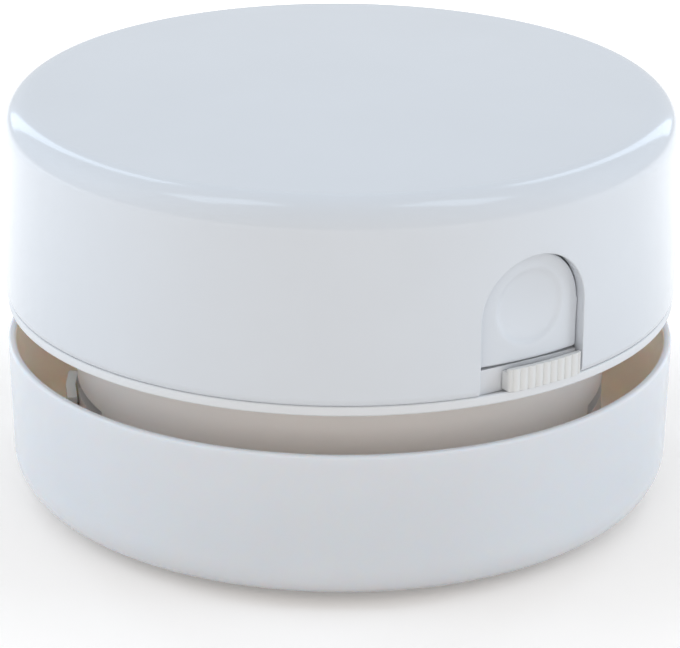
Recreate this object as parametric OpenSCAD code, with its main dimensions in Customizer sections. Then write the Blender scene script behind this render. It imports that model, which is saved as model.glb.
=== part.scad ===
// Desktop mini vacuum cleaner: a round bowl with a brushed inlet, a motor carrier that lifts
// off it, and a cap over the motor and two cells. Millimetres, +Z up, the table at z = 0,
// the axis of the body on Z, and the release button and switch on the -Y side.

/* [Cap] */
// Outer diameter of the cap
cap_d = 84; // [83.5:0.5:92]
// Thickness of the cap's wall
cap_wall = 1.6; // [1.2:0.1:1.8]
// Radius of the rounded top edge
cap_round = 3.8; // [2.5:0.1:6]
// Rise of the crown from the rounded edge to the middle
cap_crown = 0.85; // [0.4:0.05:1.5]
// Radius of the rounded bottom edge
cap_foot_round = 1.2; // [0.6:0.1:1.5]
// Free height between the motor's tabs and the underside of the crown
head_space = 1.1; // [0.9:0.1:4]

/* [Bowl] */
// Gap between the table and the bowl's underside
ground_gap = 0.7; // [0.5:0.05:1.2]
// How far the bowl's rim stands inside the cap's outside
bowl_inset = 0.14; // [0:0.02:0.6]
// Thickness of the bowl's side wall
bowl_wall = 1.0; // [0.8:0.1:1.6]
// Thickness of the bowl's floor
bowl_floor_t = 1.2; // [1:0.1:1.6]
// Draft of the bowl's side in degrees
bowl_draft = 1.6; // [0.5:0.1:2.5]
// Radius between the bowl's side and underside
bowl_round = 5.4; // [3:0.1:7]
// Height of the dust ring above the underside
dust_h = 8.8; // [8:0.1:14]
// Thickness of the dust ring's wall
dust_ring_t = 1.6; // [1.4:0.1:2]
// Diameter of the inlet
inlet_d = 18; // [12:0.5:20]
// Thickness of the chimney's wall
chimney_t = 1.0; // [0.8:0.1:1.2]
// Height of the chimney's mouth below the top of the dust ring
chimney_drop = 1.5; // [1:0.1:3]
// Depth of the hollow under the bowl that holds the brush
brush_hollow_h = 3.0; // [2.6:0.1:3.6]
// Diameter of that hollow
brush_hollow_d = 46; // [43:0.5:50]

/* [Brush and pads] */
// Outside diameter of the brush ring
brush_d = 40; // [38:0.5:42]
// Radial width of the brush ring
brush_w = 7.5; // [6:0.1:8]
// Thickness of the brush's backing
brush_back_t = 1.0; // [0.8:0.1:1.2]
// Gap between the bristles' tips and the table
tip_gap = 0.2; // [0.1:0.05:0.4]
// Diameter of a glide pad
pad_d = 7; // [5:0.5:9]
// Distance of the glide pads from the axis
pad_at = 30; // [29:0.5:31]

/* [Slit and skirt] */
// Height of the open slit between bowl and carrier
slit_h = 5.0; // [4:0.1:8]
// Height of the carrier's lip that shows below the cap
lip_h = 0.9; // [0.8:0.1:1.5]
// How far the lip stands inside the cap's outside
lip_inset = 1.0; // [0.6:0.1:1.2]
// How far the skirt stands inside the cap's outside
skirt_inset = 8.7; // [8.5:0.1:9.2]
// Thickness of the skirt's wall
skirt_t = 1.4; // [1.2:0.1:1.6]
// Height of the outlet windows in the skirt
window_h = 1.5; // [1.2:0.1:2.2]
// Width of an outlet window
window_w = 12; // [6:0.5:13]

/* [Filter] */
// Radial width of the filter frame's ring
filter_ring_w = 3.2; // [2.5:0.1:4]
// Thickness of the frame's flange
filter_flange_t = 0.7; // [0.6:0.1:1]
// Height of the frame's ring above its underside
filter_ring_h = 2.5; // [2:0.1:3]
// Width of a spoke
spoke_w = 1.6; // [1.2:0.1:2.4]
// Thickness of the mesh
mesh_t = 0.2; // [0.15:0.05:0.3]
// Thickness of the seal
seal_t = 0.7; // [0.6:0.1:1]

/* [Impeller] */
// Diameter of the impeller
impeller_d = 54; // [40:1:58]
// Height of its blades
blade_h = 4.9; // [4:0.1:8]
// Thickness of a blade
blade_t = 0.8; // [0.6:0.1:1]
// Number of blades
blade_count = 11; // [7:1:13]
// Thickness of its disc
impeller_disc_t = 1.0; // [0.8:0.1:1.4]

/* [Motor] */
// Diameter of the motor's can across its round sides
motor_d = 20.1; // [20:0.1:20.4]
// Width of the can across its flats
motor_flat = 15.1; // [15:0.1:16]
// Length of the steel can
can_len = 23.1; // [22.5:0.1:26]
// Thickness of the can
can_t = 0.7; // [0.5:0.1:0.8]
// Length of the motor's end cap
end_cap_len = 2.0; // [1.8:0.1:3]
// Height of the terminal tabs
tab_h = 1.8; // [1.5:0.1:2]
// Diameter of the shaft
shaft_d = 2.0; // [1.8:0.1:2.2]
// Diameter of the armature
armature_d = 12; // [11:0.1:12.4]
// Depth of the cup that holds the motor, below the carrier's floor
cup_drop = 4.0; // [3:0.1:5]

/* [Cells] */
// Diameter of a cell
cell_d = 14.5; // [13.8:0.1:14.6]
// Length of a cell with its nub
cell_len = 50.5; // [49.5:0.1:51]
// Gap between the motor's cup and a cell
cell_gap = 2.15; // [2:0.05:2.6]
// Length of a contact spring as held
cell_spring_len = 3.1; // [2.6:0.1:3.4]

/* [Release button] */
// Width of the arched opening in the cap
arch_w = 14.7; // [14.5:0.1:16]
// Height of the arched opening
arch_h = 16.7; // [16.3:0.1:18]
// Height of the switch slot below the button
slot_h = 3.35; // [3.3:0.05:3.8]
// How far the button's face stands inside the cap's outside
button_recess = 1.3; // [1:0.1:1.5]
// Diameter of the finger dish
dish_d = 9.6; // [7:0.1:11]
// Depth of the finger dish
dish_depth = 0.7; // [0.3:0.05:0.8]
// Travel of the button
button_travel = 1.5; // [0.8:0.1:1.8]

/* [Switch] */
// Length of the ribbed slider
slider_len = 10.75; // [10:0.05:11]
// Height of the slider
slider_h = 2.8; // [2.6:0.05:2.9]
// How far the slider stands proud of the cap's outside
slider_proud = 0.1; // [0:0.05:0.4]
// Travel of the slider
slider_travel = 3.5; // [2.5:0.1:3.5]
// Number of grip grooves on the slider
groove_count = 8; // [5:1:10]

/* [Hidden] */
$fn = 96;

// Clearances
seat_gap = 0.1;      // between pieces that sit on each other
fit_gap = 0.15;      // between pieces that push into each other
cap_gap = 0.3;       // between the cap's inside and the carrier's spigot
bore_gap = 0.03;     // between the shaft and what turns with or around it
opening_gap = 0.25;  // between the arched opening and the button
slide_gap = 0.2;     // around the slider
turn_gap = 0.7;      // around the impeller and the armature
eps = 0.01;

// Heights, built up from the table
bowl_floor_z = ground_gap + bowl_floor_t;
hollow_top_z = ground_gap + brush_hollow_h;
dust_top_z = ground_gap + dust_h;
chimney_top_z = dust_top_z - chimney_drop;
seal_z = dust_top_z + seat_gap;
filter_z = seal_z + seal_t + seat_gap;
skirt_z = filter_z + filter_flange_t + seat_gap;
spoke_h = 1.2;
mesh_z = filter_z + spoke_h + seat_gap / 2;
impeller_z = filter_z + filter_ring_h + turn_gap;
disc_z = impeller_z + blade_h;
impeller_top_z = disc_z + impeller_disc_t;
screw_head_h = 1.0;
cup_t = 1.3;
cup_z = impeller_top_z + turn_gap + screw_head_h;
motor_z = cup_z + cup_t + seat_gap;
lip_z = cup_z + cup_drop;
lip_top_z = lip_z + lip_h;
cap_z = lip_top_z + seat_gap;
floor_t = 1.6;
floor_top_z = lip_z + floor_t;
rim_z = lip_z - slit_h;
end_cap_z = motor_z + can_len + seat_gap / 2;
motor_top_z = end_cap_z + end_cap_len;
tab_top_z = motor_top_z + tab_h;
cap_top_z = tab_top_z + head_space + cap_wall;

// Radii
cap_r = cap_d / 2;
cap_in_r = cap_r - cap_wall;
lip_r = cap_r - lip_inset;
spigot_r = cap_in_r - cap_gap;
spigot_t = 1.2;
spigot_h = 2.4;
skirt_r = cap_r - skirt_inset;
skirt_in_r = skirt_r - skirt_t;
rim_r = cap_r - bowl_inset;
chimney_r = inlet_d / 2;
dust_ring_in_r = skirt_r - dust_ring_t;
hollow_r = brush_hollow_d / 2;
window_z = skirt_z + 2.1;
window_count = 12;
cup_in_r = motor_d / 2 + fit_gap;
cup_r = cup_in_r + 1.4;
cup_rim_h = 3.2;
boss_r = 3.05;
boss_h = 1.4;
shaft_r = shaft_d / 2;

// Cells and tray
cell_r = cell_d / 2;
cell_x = cup_r + cell_gap + cell_r;
tray_t = 1.5;
tray_z = floor_top_z + seat_gap;
tray_top_z = tray_z + tray_t;
cell_z = tray_top_z + 2 * fit_gap + cell_r;
plate_t = 0.3;
bay_half = (cell_len + cell_spring_len) / 2 + seat_gap + fit_gap + plate_t;
tray_r = spigot_r - spigot_t - fit_gap;
tray_wall_t = 1.4;
tray_wall_w = 12;
tray_wall_x = cell_x - 0.5;
saddle_y = 12;
saddle_t = 2;
crossbar_y = 15.5;
crossbar_w = 4;
nub_len = 1.3;
nub_r = 2.75;

// Button and its guide
arch_r = arch_w / 2;
arch_c_z = cap_z + arch_h - arch_r;
button_z = cap_z + slot_h;
button_r = arch_r - opening_gap;
button_face_r = cap_r - button_recess;
button_back_y = -(button_face_r - 1.3);
stem_w = 8;
stem_h = 7;
stem_z = button_z + 2.2;
stem_back_y = button_back_y + 5.4;
stem_c_z = stem_z + stem_h / 2;
sill_z = stem_z - 1.2;
pocket_r = 2.6;
tongue_w = 8;
pocket_y = stem_back_y - 3.5;
guide_half_w = arch_r + 1.25;
cheek_t = 1.0;
guide_front_y = -sqrt(pow(spigot_r, 2) - pow(guide_half_w, 2));
guide_wall_t = 1.2;
guide_back_y = stem_back_y + button_travel + 1.3;
guide_rear_y = guide_back_y + guide_wall_t;
guide_z = floor_top_z + seat_gap;
guide_top_z = cap_z + arch_h - 0.9;
pin_r = 1.5;
spring_r = 2.3;
foot_l = 4.4;
foot_t = 1.4;
foot_x = guide_half_w + foot_l / 2;
foot_y = guide_rear_y + 1;

// Switch
panel_y = -(cap_r - 1.8);
panel_t = 1.6;
panel_top_z = button_z - 0.3;
slider_z = lip_top_z + 0.35;
slider_c_z = slider_z + slider_h / 2;
slider_back_y = panel_y - slide_gap;
slider_r = cap_r + slider_proud;
slider_x1 = arch_r - slide_gap;
slider_x0 = slider_x1 - slider_len;
slider_c_x = (slider_x0 + slider_x1) / 2;
stub_w = 3;
stub_h = 1.3;
lever_w = 1.8;
case_w = 10;
case_d = 4.2;
case_y = panel_y + panel_t + slide_gap;
case_h = 2.4;
case_z = floor_top_z + seat_gap;
lever_z = slider_c_z;
lever_room = 0.7;

// Screws
screw_r = 0.95;
screw_head_r = 1.9;
screw_shank = 4.4;
screw_boss_r = 2.3;
boss_drop = 3;
screw_hole_r = screw_r + 0.05;
screw_clear_r = screw_r + 0.2;
motor_screw_y = 6.6;

// Wires, as points chosen by hand relative to what they join
wire_r = 0.65;
wire_sides = 8;
wire_steps = 3;
contact_tab_x = cell_x - cell_r - 1.6;
contact_y = bay_half - plate_t / 2;
tab_y = 5;
wire_top_z = motor_top_z + 1.2;
case_back_y = case_y + case_d;
wire_case_z = case_z + 1.6;
wire_clear_y = guide_rear_y + wire_r + seat_gap;
red_route = [
    [contact_tab_x - 0.1, -contact_y, cell_z - 4.5],
    [contact_tab_x - 2.5, max(-contact_y - 0.4, wire_clear_y), cell_z - 5],
    [6.5, max(-contact_y - 1.2, wire_clear_y), cell_z - 6.4],
    [3.6, case_back_y + 4.2, wire_case_z + 0.5],
    [2.5, case_back_y + 2.9, wire_case_z],
    [2.5, case_back_y + 1.7, wire_case_z]
];
white_route = [
    [-2.5, case_back_y + 1.7, wire_case_z],
    [-2.5, case_back_y + 2.9, wire_case_z],
    [-2.8, case_back_y + 4.4, wire_case_z + 0.5],
    [-4, -24, cell_z - 5.5],
    [-4.5, -17, cell_z - 1],
    [-3.2, -12.6, cell_z + 7],
    [-1.6, -11.2, wire_top_z - 1.2],
    [-0.2, -8.8, wire_top_z],
    [0, -tab_y - 1.6, wire_top_z],
    [0, -tab_y - 0.3, wire_top_z]
];
black_route = [
    [-contact_tab_x + 0.1, -contact_y, cell_z - 4.5],
    [-contact_tab_x + 1.2, -contact_y, cell_z - 4.5],
    [-contact_tab_x + 1.4, -contact_y + 3, cell_z - 4.6],
    [-cup_r - 0.3, -16, cell_z - 2.5],
    [-cup_r - 0.2, -6, cell_z + 4],
    [-cup_r + 0.2, 1, wire_top_z - 4],
    [-9, 6, wire_top_z - 1],
    [-4.5, 8.6, wire_top_z],
    [-1.2, 8.2, wire_top_z],
    [0, tab_y + 1.6, wire_top_z],
    [0, tab_y + 0.3, wire_top_z]
];

// Points of an arc about (cx, cy) from angle a0 to angle a1
function arc(cx, cy, r, a0, a1, n = 10) =
    [for (i = [0 : n]) let (a = a0 + (a1 - a0) * i / n) [cx + r * cos(a), cy + r * sin(a)]];

// A point of the smooth curve through four neighbouring route points
function smooth(a, b, c, d, t) =
    b + (c - a) * t / 2
    + (2 * a - 5 * b + 4 * c - d) * pow(t, 2) / 2
    + (3 * b - a - 3 * c + d) * pow(t, 3) / 2;

// The route with extra points along its smooth curve
function curve(p, steps) = let (n = len(p)) concat(
    [for (i = [0 : n - 2], s = [0 : steps - 1])
        smooth(p[max(i - 1, 0)], p[i], p[i + 1], p[min(i + 2, n - 1)], s / steps)],
    [p[n - 1]]);

function unit(v) = v / norm(v);

// Directions along the points, and one side vector per point carried along without twist
function headings(p) = let (n = len(p))
    [for (i = [0 : n - 1]) unit(p[min(i + 1, n - 1)] - p[max(i - 1, 0)])];
function carried(t, i, s) = let (v = unit(s - (s * t[i]) * t[i]))
    i == len(t) - 1 ? [v] : concat([v], carried(t, i + 1, v));

// A round tube of one polyhedron along a route
module tube_along(route, r, sides, steps) {
    p = curve(route, steps);
    t = headings(p);
    side = carried(t, 0, cross(t[0], [0.2, 0.3, 1]));
    points = [for (i = [0 : len(p) - 1], k = [0 : sides - 1])
        let (a = 360 * k / sides)
        p[i] + r * (cos(a) * side[i] + sin(a) * cross(t[i], side[i]))];
    last = (len(p) - 1) * sides;
    walls = [for (i = [0 : len(p) - 2], k = [0 : sides - 1], half = [0, 1])
        let (
            a = i * sides + k,
            b = i * sides + (k + 1) % sides,
            c = b + sides,
            d = a + sides
        )
        half == 0 ? [a, c, b] : [a, d, c]];
    ends = [
        [for (k = [0 : sides - 1]) k],
        [for (k = [sides - 1 : -1 : 0]) last + k]
    ];
    polyhedron(points = points, faces = concat(walls, ends), convexity = 4);
}

// A tube or ring between two radii and two heights
module ring(r_in, r_out, z0, z1) {
    rotate_extrude()
        translate([r_in, z0])
            square([r_out - r_in, z1 - z0]);
}

// A box between two corners
module block(a, b) {
    translate(a)
        cube(b - a);
}

// The cap's outline in section: inset moves it inwards by a wall
module cap_section(inset) {
    side_r = cap_r - inset;
    round_r = max(cap_round - inset, 0.4);
    top_z = cap_top_z - inset;
    shoulder_r = side_r - round_r;
    shoulder_z = top_z - cap_crown;
    crown_r = (pow(shoulder_r, 2) + pow(cap_crown, 2)) / (2 * cap_crown);
    crown_a = asin(shoulder_r / crown_r);
    foot_r = inset > 0 ? 0 : cap_foot_round;
    foot_z = inset > 0 ? cap_z - 1 : cap_z;
    foot = inset > 0
        ? [[side_r, foot_z]]
        : arc(side_r - foot_r, foot_z + foot_r, foot_r, -90, 0, 6);
    polygon(concat(
        [[0, foot_z]],
        foot,
        arc(shoulder_r, shoulder_z - round_r, round_r, 0, 90, 12),
        [for (i = [1 : 12]) let (a = crown_a * (1 - i / 12))
            [crown_r * sin(a), top_z - crown_r * (1 - cos(a))]]
    ));
}

// The arched outline of the opening and the button, in X and Z
module arch_outline(r, z0) {
    union() {
        translate([-r, z0])
            square([2 * r, arch_c_z - z0]);
        intersection() {
            translate([0, arch_c_z])
                circle(r = r);
            translate([-r, arch_c_z - eps])
                square([2 * r, 2 * r]);
        }
    }
}

// An outline in X and Z given a thickness from y0 to y1
module upright(y0, y1) {
    translate([0, y1, 0])
        rotate([90, 0, 0])
            linear_extrude(height = y1 - y0)
                children();
}

module cap() {
    rib_top_z = cap_top_z - cap_wall * 0.6;
    color("white")
        union() {
            difference() {
                rotate_extrude()
                    difference() {
                        cap_section(0);
                        cap_section(cap_wall);
                    }
                upright(-cap_r - 1, -cap_r / 2)
                    arch_outline(arch_r, cap_z - 1);
            }
            for (sx = [-1, 1], sy = [-1, 1])
                intersection() {
                    block([sx * cell_x - 6, sy * saddle_y - 0.6, cell_z + cell_r + 0.35],
                        [sx * cell_x + 6, sy * saddle_y + 0.6, rib_top_z]);
                    rotate_extrude()
                        cap_section(cap_wall / 2);
                }
        }
}

// The bowl's section: side wall, floor, raised middle over the brush, chimney and dust ring
module bowl_section() {
    drop = tan(bowl_draft);
    side_h = rim_z - ground_gap - bowl_round;
    round_x = rim_r - side_h * drop - bowl_round;
    round_z = ground_gap + bowl_round;
    in_round = bowl_round - bowl_wall;
    in_floor_z = round_z - in_round;
    difference() {
        polygon(concat(
            [[0, ground_gap]],
            arc(round_x, round_z, bowl_round, -90, 0, 12),
            [[rim_r, rim_z], [0, rim_z]]
        ));
        polygon(concat(
            [[hollow_r + bowl_floor_t, bowl_floor_z]],
            [[round_x - 1, bowl_floor_z]],
            arc(round_x, max(in_floor_z, bowl_floor_z) + in_round, in_round, -90, 0, 12),
            [[rim_r - bowl_wall, rim_z - 0.3], [rim_r - bowl_wall + 0.1, rim_z + 1]],
            [[0, rim_z + 1], [0, hollow_top_z + bowl_floor_t]],
            [[hollow_r + bowl_floor_t, hollow_top_z + bowl_floor_t]]
        ));
        translate([0, ground_gap - 1])
            square([hollow_r, brush_hollow_h + 1]);
        translate([0, ground_gap])
            square([chimney_r, rim_z]);
    }
    translate([chimney_r, hollow_top_z])
        square([chimney_t, chimney_top_z - hollow_top_z]);
    translate([dust_ring_in_r, bowl_floor_z - 0.5])
        square([dust_ring_t, dust_top_z - bowl_floor_z + 0.5]);
}

// Three tabs outside the dust ring centre the skirt
module locating_tabs() {
    tab_in_r = skirt_r + cap_gap;
    tab_t = 1.2;
    tab_w = 9;
    for (a = [30, 150, 270])
        rotate([0, 0, a])
            intersection() {
                block([0, -tab_w / 2, 0], [cap_r, tab_w / 2, rim_z]);
                union() {
                    ring(tab_in_r, tab_in_r + tab_t, bowl_floor_z - 0.5, skirt_z + 1.6);
                    ring(skirt_r - 0.4, tab_in_r + tab_t, bowl_floor_z - 0.5, dust_top_z - 0.5);
                }
            }
}

module bowl() {
    color("white")
        union() {
            rotate_extrude()
                bowl_section();
            locating_tabs();
        }
}

module brush_backing() {
    color("dimgray")
        ring(brush_d / 2 - brush_w, brush_d / 2, hollow_top_z - seat_gap / 2 - brush_back_t,
            hollow_top_z - seat_gap / 2);
}

module brush_bristles() {
    top_z = hollow_top_z - seat_gap - brush_back_t;
    color("darkgray")
        ring(brush_d / 2 - brush_w + 0.5, brush_d / 2 - 0.5, tip_gap, top_z);
}

module glide_pads() {
    color("gainsboro")
        for (a = [45 : 90 : 315])
            rotate([0, 0, a])
                translate([pad_at, 0, 0])
                    cylinder(d = pad_d, h = ground_gap - seat_gap / 2);
}

// Boss with a blind pilot hole, hanging from the carrier's floor
module screw_boss(x, y) {
    translate([x, y, lip_z - boss_drop])
        cylinder(r = screw_boss_r, h = boss_drop + eps);
}

module screw_pilot(x, y) {
    translate([x, y, lip_z - boss_drop + 0.8])
        cylinder(r = screw_hole_r, h = boss_drop + floor_t + 1);
}

// The motor's outline: round with two flats
module motor_outline(r, flat) {
    intersection() {
        circle(r = r);
        square([flat, 2 * r + 2], center = true);
    }
}

module carrier() {
    color("whitesmoke")
        difference() {
            union() {
                ring(0, lip_r, lip_z, lip_top_z);
                ring(0, spigot_r - 0.2, lip_z, floor_top_z);
                ring(spigot_r - spigot_t, spigot_r, lip_top_z - eps, floor_top_z + spigot_h);
                ring(skirt_in_r, skirt_r, skirt_z, lip_z + eps);
                ring(0, cup_r, cup_z, floor_top_z + cup_rim_h);
                for (sy = [-1, 1])
                    screw_boss(0, sy * crossbar_y);
                for (sx = [-1, 1])
                    screw_boss(sx * foot_x, foot_y);
            }
            translate([0, 0, cup_z + cup_t])
                linear_extrude(height = cup_drop + floor_t + cup_rim_h + 5)
                    motor_outline(cup_in_r, motor_flat + 2 * fit_gap);
            translate([0, 0, cup_z - 1])
                cylinder(r = boss_r + fit_gap, h = cup_t + 2);
            for (sy = [-1, 1]) {
                translate([0, sy * motor_screw_y, cup_z - 1])
                    cylinder(r = screw_clear_r, h = cup_t + 2);
                screw_pilot(0, sy * crossbar_y);
            }
            for (sx = [-1, 1])
                screw_pilot(sx * foot_x, foot_y);
            block([-guide_half_w - 0.8, -cap_r, floor_top_z],
                [guide_half_w + 0.8, -cap_r / 2, floor_top_z + spigot_h + 1]);
            block([-arch_r - 0.6, -cap_r, lip_top_z],
                [arch_r + 0.6, -spigot_r + spigot_t + 0.6, floor_top_z + 1]);
            for (i = [0 : window_count / 2 - 1])
                rotate([0, 0, (i + 0.5) * 360 / window_count])
                    block([-cap_r, -window_w / 2, window_z],
                        [cap_r, window_w / 2, window_z + window_h]);
        }
}

module filter_frame() {
    ring_r = skirt_in_r - fit_gap;
    ring_in_r = ring_r - filter_ring_w;
    color("lightgray")
        union() {
            ring(ring_in_r, skirt_r, filter_z, filter_z + filter_flange_t);
            ring(ring_in_r, ring_r, filter_z, filter_z + filter_ring_h);
            difference() {
                for (a = [0 : 60 : 120])
                    rotate([0, 0, a])
                        block([-ring_in_r - 1, -spoke_w / 2, filter_z],
                            [ring_in_r + 1, spoke_w / 2, filter_z + spoke_h]);
                ring(0, 2, filter_z - 1, filter_z + spoke_h + 1);
            }
            ring(2, 4.5, filter_z, filter_z + spoke_h);
            ring(ring_in_r / 2 - spoke_w / 2, ring_in_r / 2 + spoke_w / 2, filter_z,
                filter_z + spoke_h);
        }
}

module filter_mesh() {
    color("silver")
        translate([0, 0, mesh_z])
            cylinder(r = skirt_in_r - fit_gap - filter_ring_w - fit_gap, h = mesh_t);
}

module seal_ring() {
    color("darkslategray")
        ring(dust_ring_in_r, skirt_r, seal_z, seal_z + seal_t);
}

// One swept-back blade as an arc between two radii
module blade(r_in, r_out) {
    bend_r = r_out * 0.62;
    intersection() {
        translate([r_out * 0.5, -bend_r * 0.86])
            difference() {
                circle(r = bend_r + blade_t / 2);
                circle(r = bend_r - blade_t / 2);
            }
        difference() {
            circle(r = r_out);
            circle(r = r_in);
        }
        translate([0, -r_out * 0.2])
            square([r_out * 1.1, r_out * 1.2]);
    }
}

module impeller() {
    out_r = impeller_d / 2;
    color("ivory")
        difference() {
            union() {
                ring(0, out_r, disc_z, impeller_top_z);
                ring(0, 4, impeller_z, impeller_top_z);
                translate([0, 0, impeller_z])
                    linear_extrude(height = blade_h + eps)
                        for (i = [0 : blade_count - 1])
                            rotate(360 * i / blade_count)
                                blade(out_r * 0.36, out_r - 0.6);
            }
            translate([0, 0, impeller_z - 1])
                cylinder(r = shaft_r + bore_gap, h = blade_h + impeller_disc_t + 2);
        }
}

module motor_can() {
    in_r = motor_d / 2 - can_t;
    color("lightsteelblue")
        difference() {
            union() {
                translate([0, 0, motor_z])
                    linear_extrude(height = can_len)
                        motor_outline(motor_d / 2, motor_flat);
                translate([0, 0, motor_z - boss_h])
                    cylinder(r = boss_r, h = boss_h + eps);
            }
            translate([0, 0, motor_z + can_t])
                linear_extrude(height = can_len)
                    motor_outline(in_r, motor_flat - 2 * can_t);
            translate([0, 0, motor_z - boss_h - 1])
                cylinder(r = boss_r - 0.5, h = boss_h + can_t + 2);
            for (sy = [-1, 1])
                translate([0, sy * motor_screw_y, motor_z - 1])
                    cylinder(r = screw_hole_r, h = can_t + 2);
        }
}

module motor_magnets() {
    in_r = armature_d / 2 + 0.5;
    out_r = motor_d / 2 - can_t - seat_gap / 2;
    color("dimgray")
        for (sy = [-1, 1])
            intersection() {
                ring(in_r, out_r, motor_z + can_t + 2, motor_z + can_len - 4);
                block([-motor_flat / 2 + can_t + 0.3, sy * 10 - 8, motor_z],
                    [motor_flat / 2 - can_t - 0.3, sy * 10 + 8, motor_z + can_len]);
            }
}

// Front bush in the can's boss and rear bush in the end cap
module motor_bushes() {
    color("peru")
        union() {
            ring(shaft_r + bore_gap, boss_r - 0.5 - bore_gap, motor_z - boss_h, motor_z + can_t);
            ring(shaft_r + bore_gap, 2, end_cap_z - 0.6, end_cap_z + end_cap_len - 0.5);
        }
}

module motor_end_cap() {
    color("white")
        difference() {
            union() {
                translate([0, 0, end_cap_z])
                    linear_extrude(height = end_cap_len)
                        motor_outline(motor_d / 2, motor_flat);
                translate([0, 0, end_cap_z - 1.2])
                    linear_extrude(height = 1.2 + eps)
                        motor_outline(motor_d / 2 - can_t - fit_gap,
                            motor_flat - 2 * can_t - 2 * fit_gap);
            }
            translate([0, 0, end_cap_z - 2])
                cylinder(r = 2 + bore_gap, h = end_cap_len + 1.5);
            for (sy = [-1, 1])
                block([-1.2, sy * tab_y - 0.35, end_cap_z - 2],
                    [1.2, sy * tab_y + 0.35, end_cap_z + end_cap_len + 1]);
        }
}

// Two brass tabs through the end cap, each with a spring finger beside the commutator
module motor_terminals() {
    finger_y = 2.45;
    finger_z = end_cap_z - 1.6;
    color("goldenrod")
        for (sy = [-1, 1])
            union() {
                block([-1, sy * tab_y - 0.2, finger_z],
                    [1, sy * tab_y + 0.2, tab_top_z]);
                block([-1, min(sy * finger_y, sy * tab_y), finger_z - 0.3],
                    [1, max(sy * finger_y, sy * tab_y), finger_z + 0.1]);
                block([-0.6, sy * (finger_y + 0.15) - 0.15, finger_z - 3],
                    [0.6, sy * (finger_y + 0.15) + 0.15, finger_z]);
            }
}

module motor_screws() {
    color("silver")
        for (sy = [-1, 1])
            translate([0, sy * motor_screw_y, 0])
                union() {
                    translate([0, 0, cup_z - seat_gap / 2 - screw_head_h + 0.1])
                        cylinder(r = screw_head_r - 0.2, h = screw_head_h - 0.1);
                    translate([0, 0, cup_z - seat_gap])
                        cylinder(r = screw_r, h = cup_t + can_t + 0.3);
                }
}

module motor_shaft() {
    color("silver")
        translate([0, 0, impeller_z - 0.3])
            cylinder(r = shaft_r, h = end_cap_z + end_cap_len - 0.6 - impeller_z);
}

// Three-pole core with its windings, and the commutator above it
module armature() {
    core_z = motor_z + can_t + 4;
    core_h = can_len - 13;
    top_z = end_cap_z - 1.9;
    color("saddlebrown")
        difference() {
            union() {
                translate([0, 0, core_z])
                    linear_extrude(height = core_h)
                        difference() {
                            circle(r = armature_d / 2);
                            for (a = [30 : 120 : 270])
                                rotate(a)
                                    translate([armature_d / 2 - 1.6, -0.7])
                                        square([3, 1.4]);
                        }
                ring(0, armature_d / 2 - 1.4, core_z - 1.5, core_z + core_h + 1.5);
                ring(0, 2.2, core_z, top_z);
            }
            translate([0, 0, core_z - 3])
                cylinder(r = shaft_r + bore_gap, h = can_len);
        }
}

module battery_tray() {
    wall_z = cell_z + cell_r - 3;
    color("gainsboro")
        difference() {
            union() {
                for (sx = [-1, 1]) {
                    intersection() {
                        block([sx * cell_x - cell_r - 0.3, -bay_half - tray_wall_t, tray_z],
                            [sx * cell_x + cell_r - 0.3, bay_half + tray_wall_t, tray_top_z]);
                        ring(0, tray_r, tray_z - 1, tray_top_z + 1);
                    }
                    for (sy = [-1, 1]) {
                        wall_y = sy * (bay_half + seat_gap / 2 + tray_wall_t / 2);
                        intersection() {
                            block([sx * tray_wall_x - tray_wall_w / 2, wall_y - tray_wall_t / 2, tray_z],
                                [sx * tray_wall_x + tray_wall_w / 2, wall_y + tray_wall_t / 2, wall_z]);
                            ring(0, tray_r, tray_z - 1, wall_z + 1);
                        }
                        block([sx * cell_x - 6.5, sy * saddle_y - saddle_t / 2, tray_z],
                            [sx * cell_x + 6.5, sy * saddle_y + saddle_t / 2, cell_z - 2]);
                    }
                }
                for (sy = [-1, 1])
                    block([-cell_x, sy * crossbar_y - crossbar_w / 2, tray_z],
                        [cell_x, sy * crossbar_y + crossbar_w / 2, tray_top_z]);
            }
            for (sx = [-1, 1])
                translate([sx * cell_x, bay_half, cell_z])
                    rotate([90, 0, 0])
                        cylinder(r = cell_r + fit_gap, h = 2 * bay_half);
            for (sy = [-1, 1])
                translate([0, sy * crossbar_y, tray_z - 1])
                    cylinder(r = screw_clear_r, h = tray_t + 2);
        }
}

// A pan-head screw standing in a hole: head above z, shank below
module pan_screw(x, y, z, shank) {
    translate([x, y, z])
        difference() {
            union() {
                cylinder(r = screw_head_r, h = 1.2);
                translate([0, 0, -shank])
                    cylinder(r = screw_r, h = shank + eps);
            }
            for (a = [0, 90])
                rotate([0, 0, a])
                    block([-1.2, -0.2, 0.6], [1.2, 0.2, 2]);
        }
}

module tray_screws() {
    color("silver")
        for (sy = [-1, 1])
            pan_screw(0, sy * crossbar_y, tray_top_z + seat_gap / 2, screw_shank);
}

// A cell along Y, its nub towards the given side
module cell(side) {
    start_y = side * (bay_half - plate_t - seat_gap);
    translate([0, start_y, 0])
        rotate([side * 90, 0, 0])
            union() {
                cylinder(r = nub_r, h = nub_len + eps);
                translate([0, 0, nub_len])
                    cylinder(r = cell_r, h = cell_len - nub_len);
            }
}

module battery_right() {
    color("seagreen")
        translate([cell_x, 0, cell_z])
            cell(-1);
}

module battery_left() {
    color("seagreen")
        translate([-cell_x, 0, cell_z])
            cell(1);
}

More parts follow.
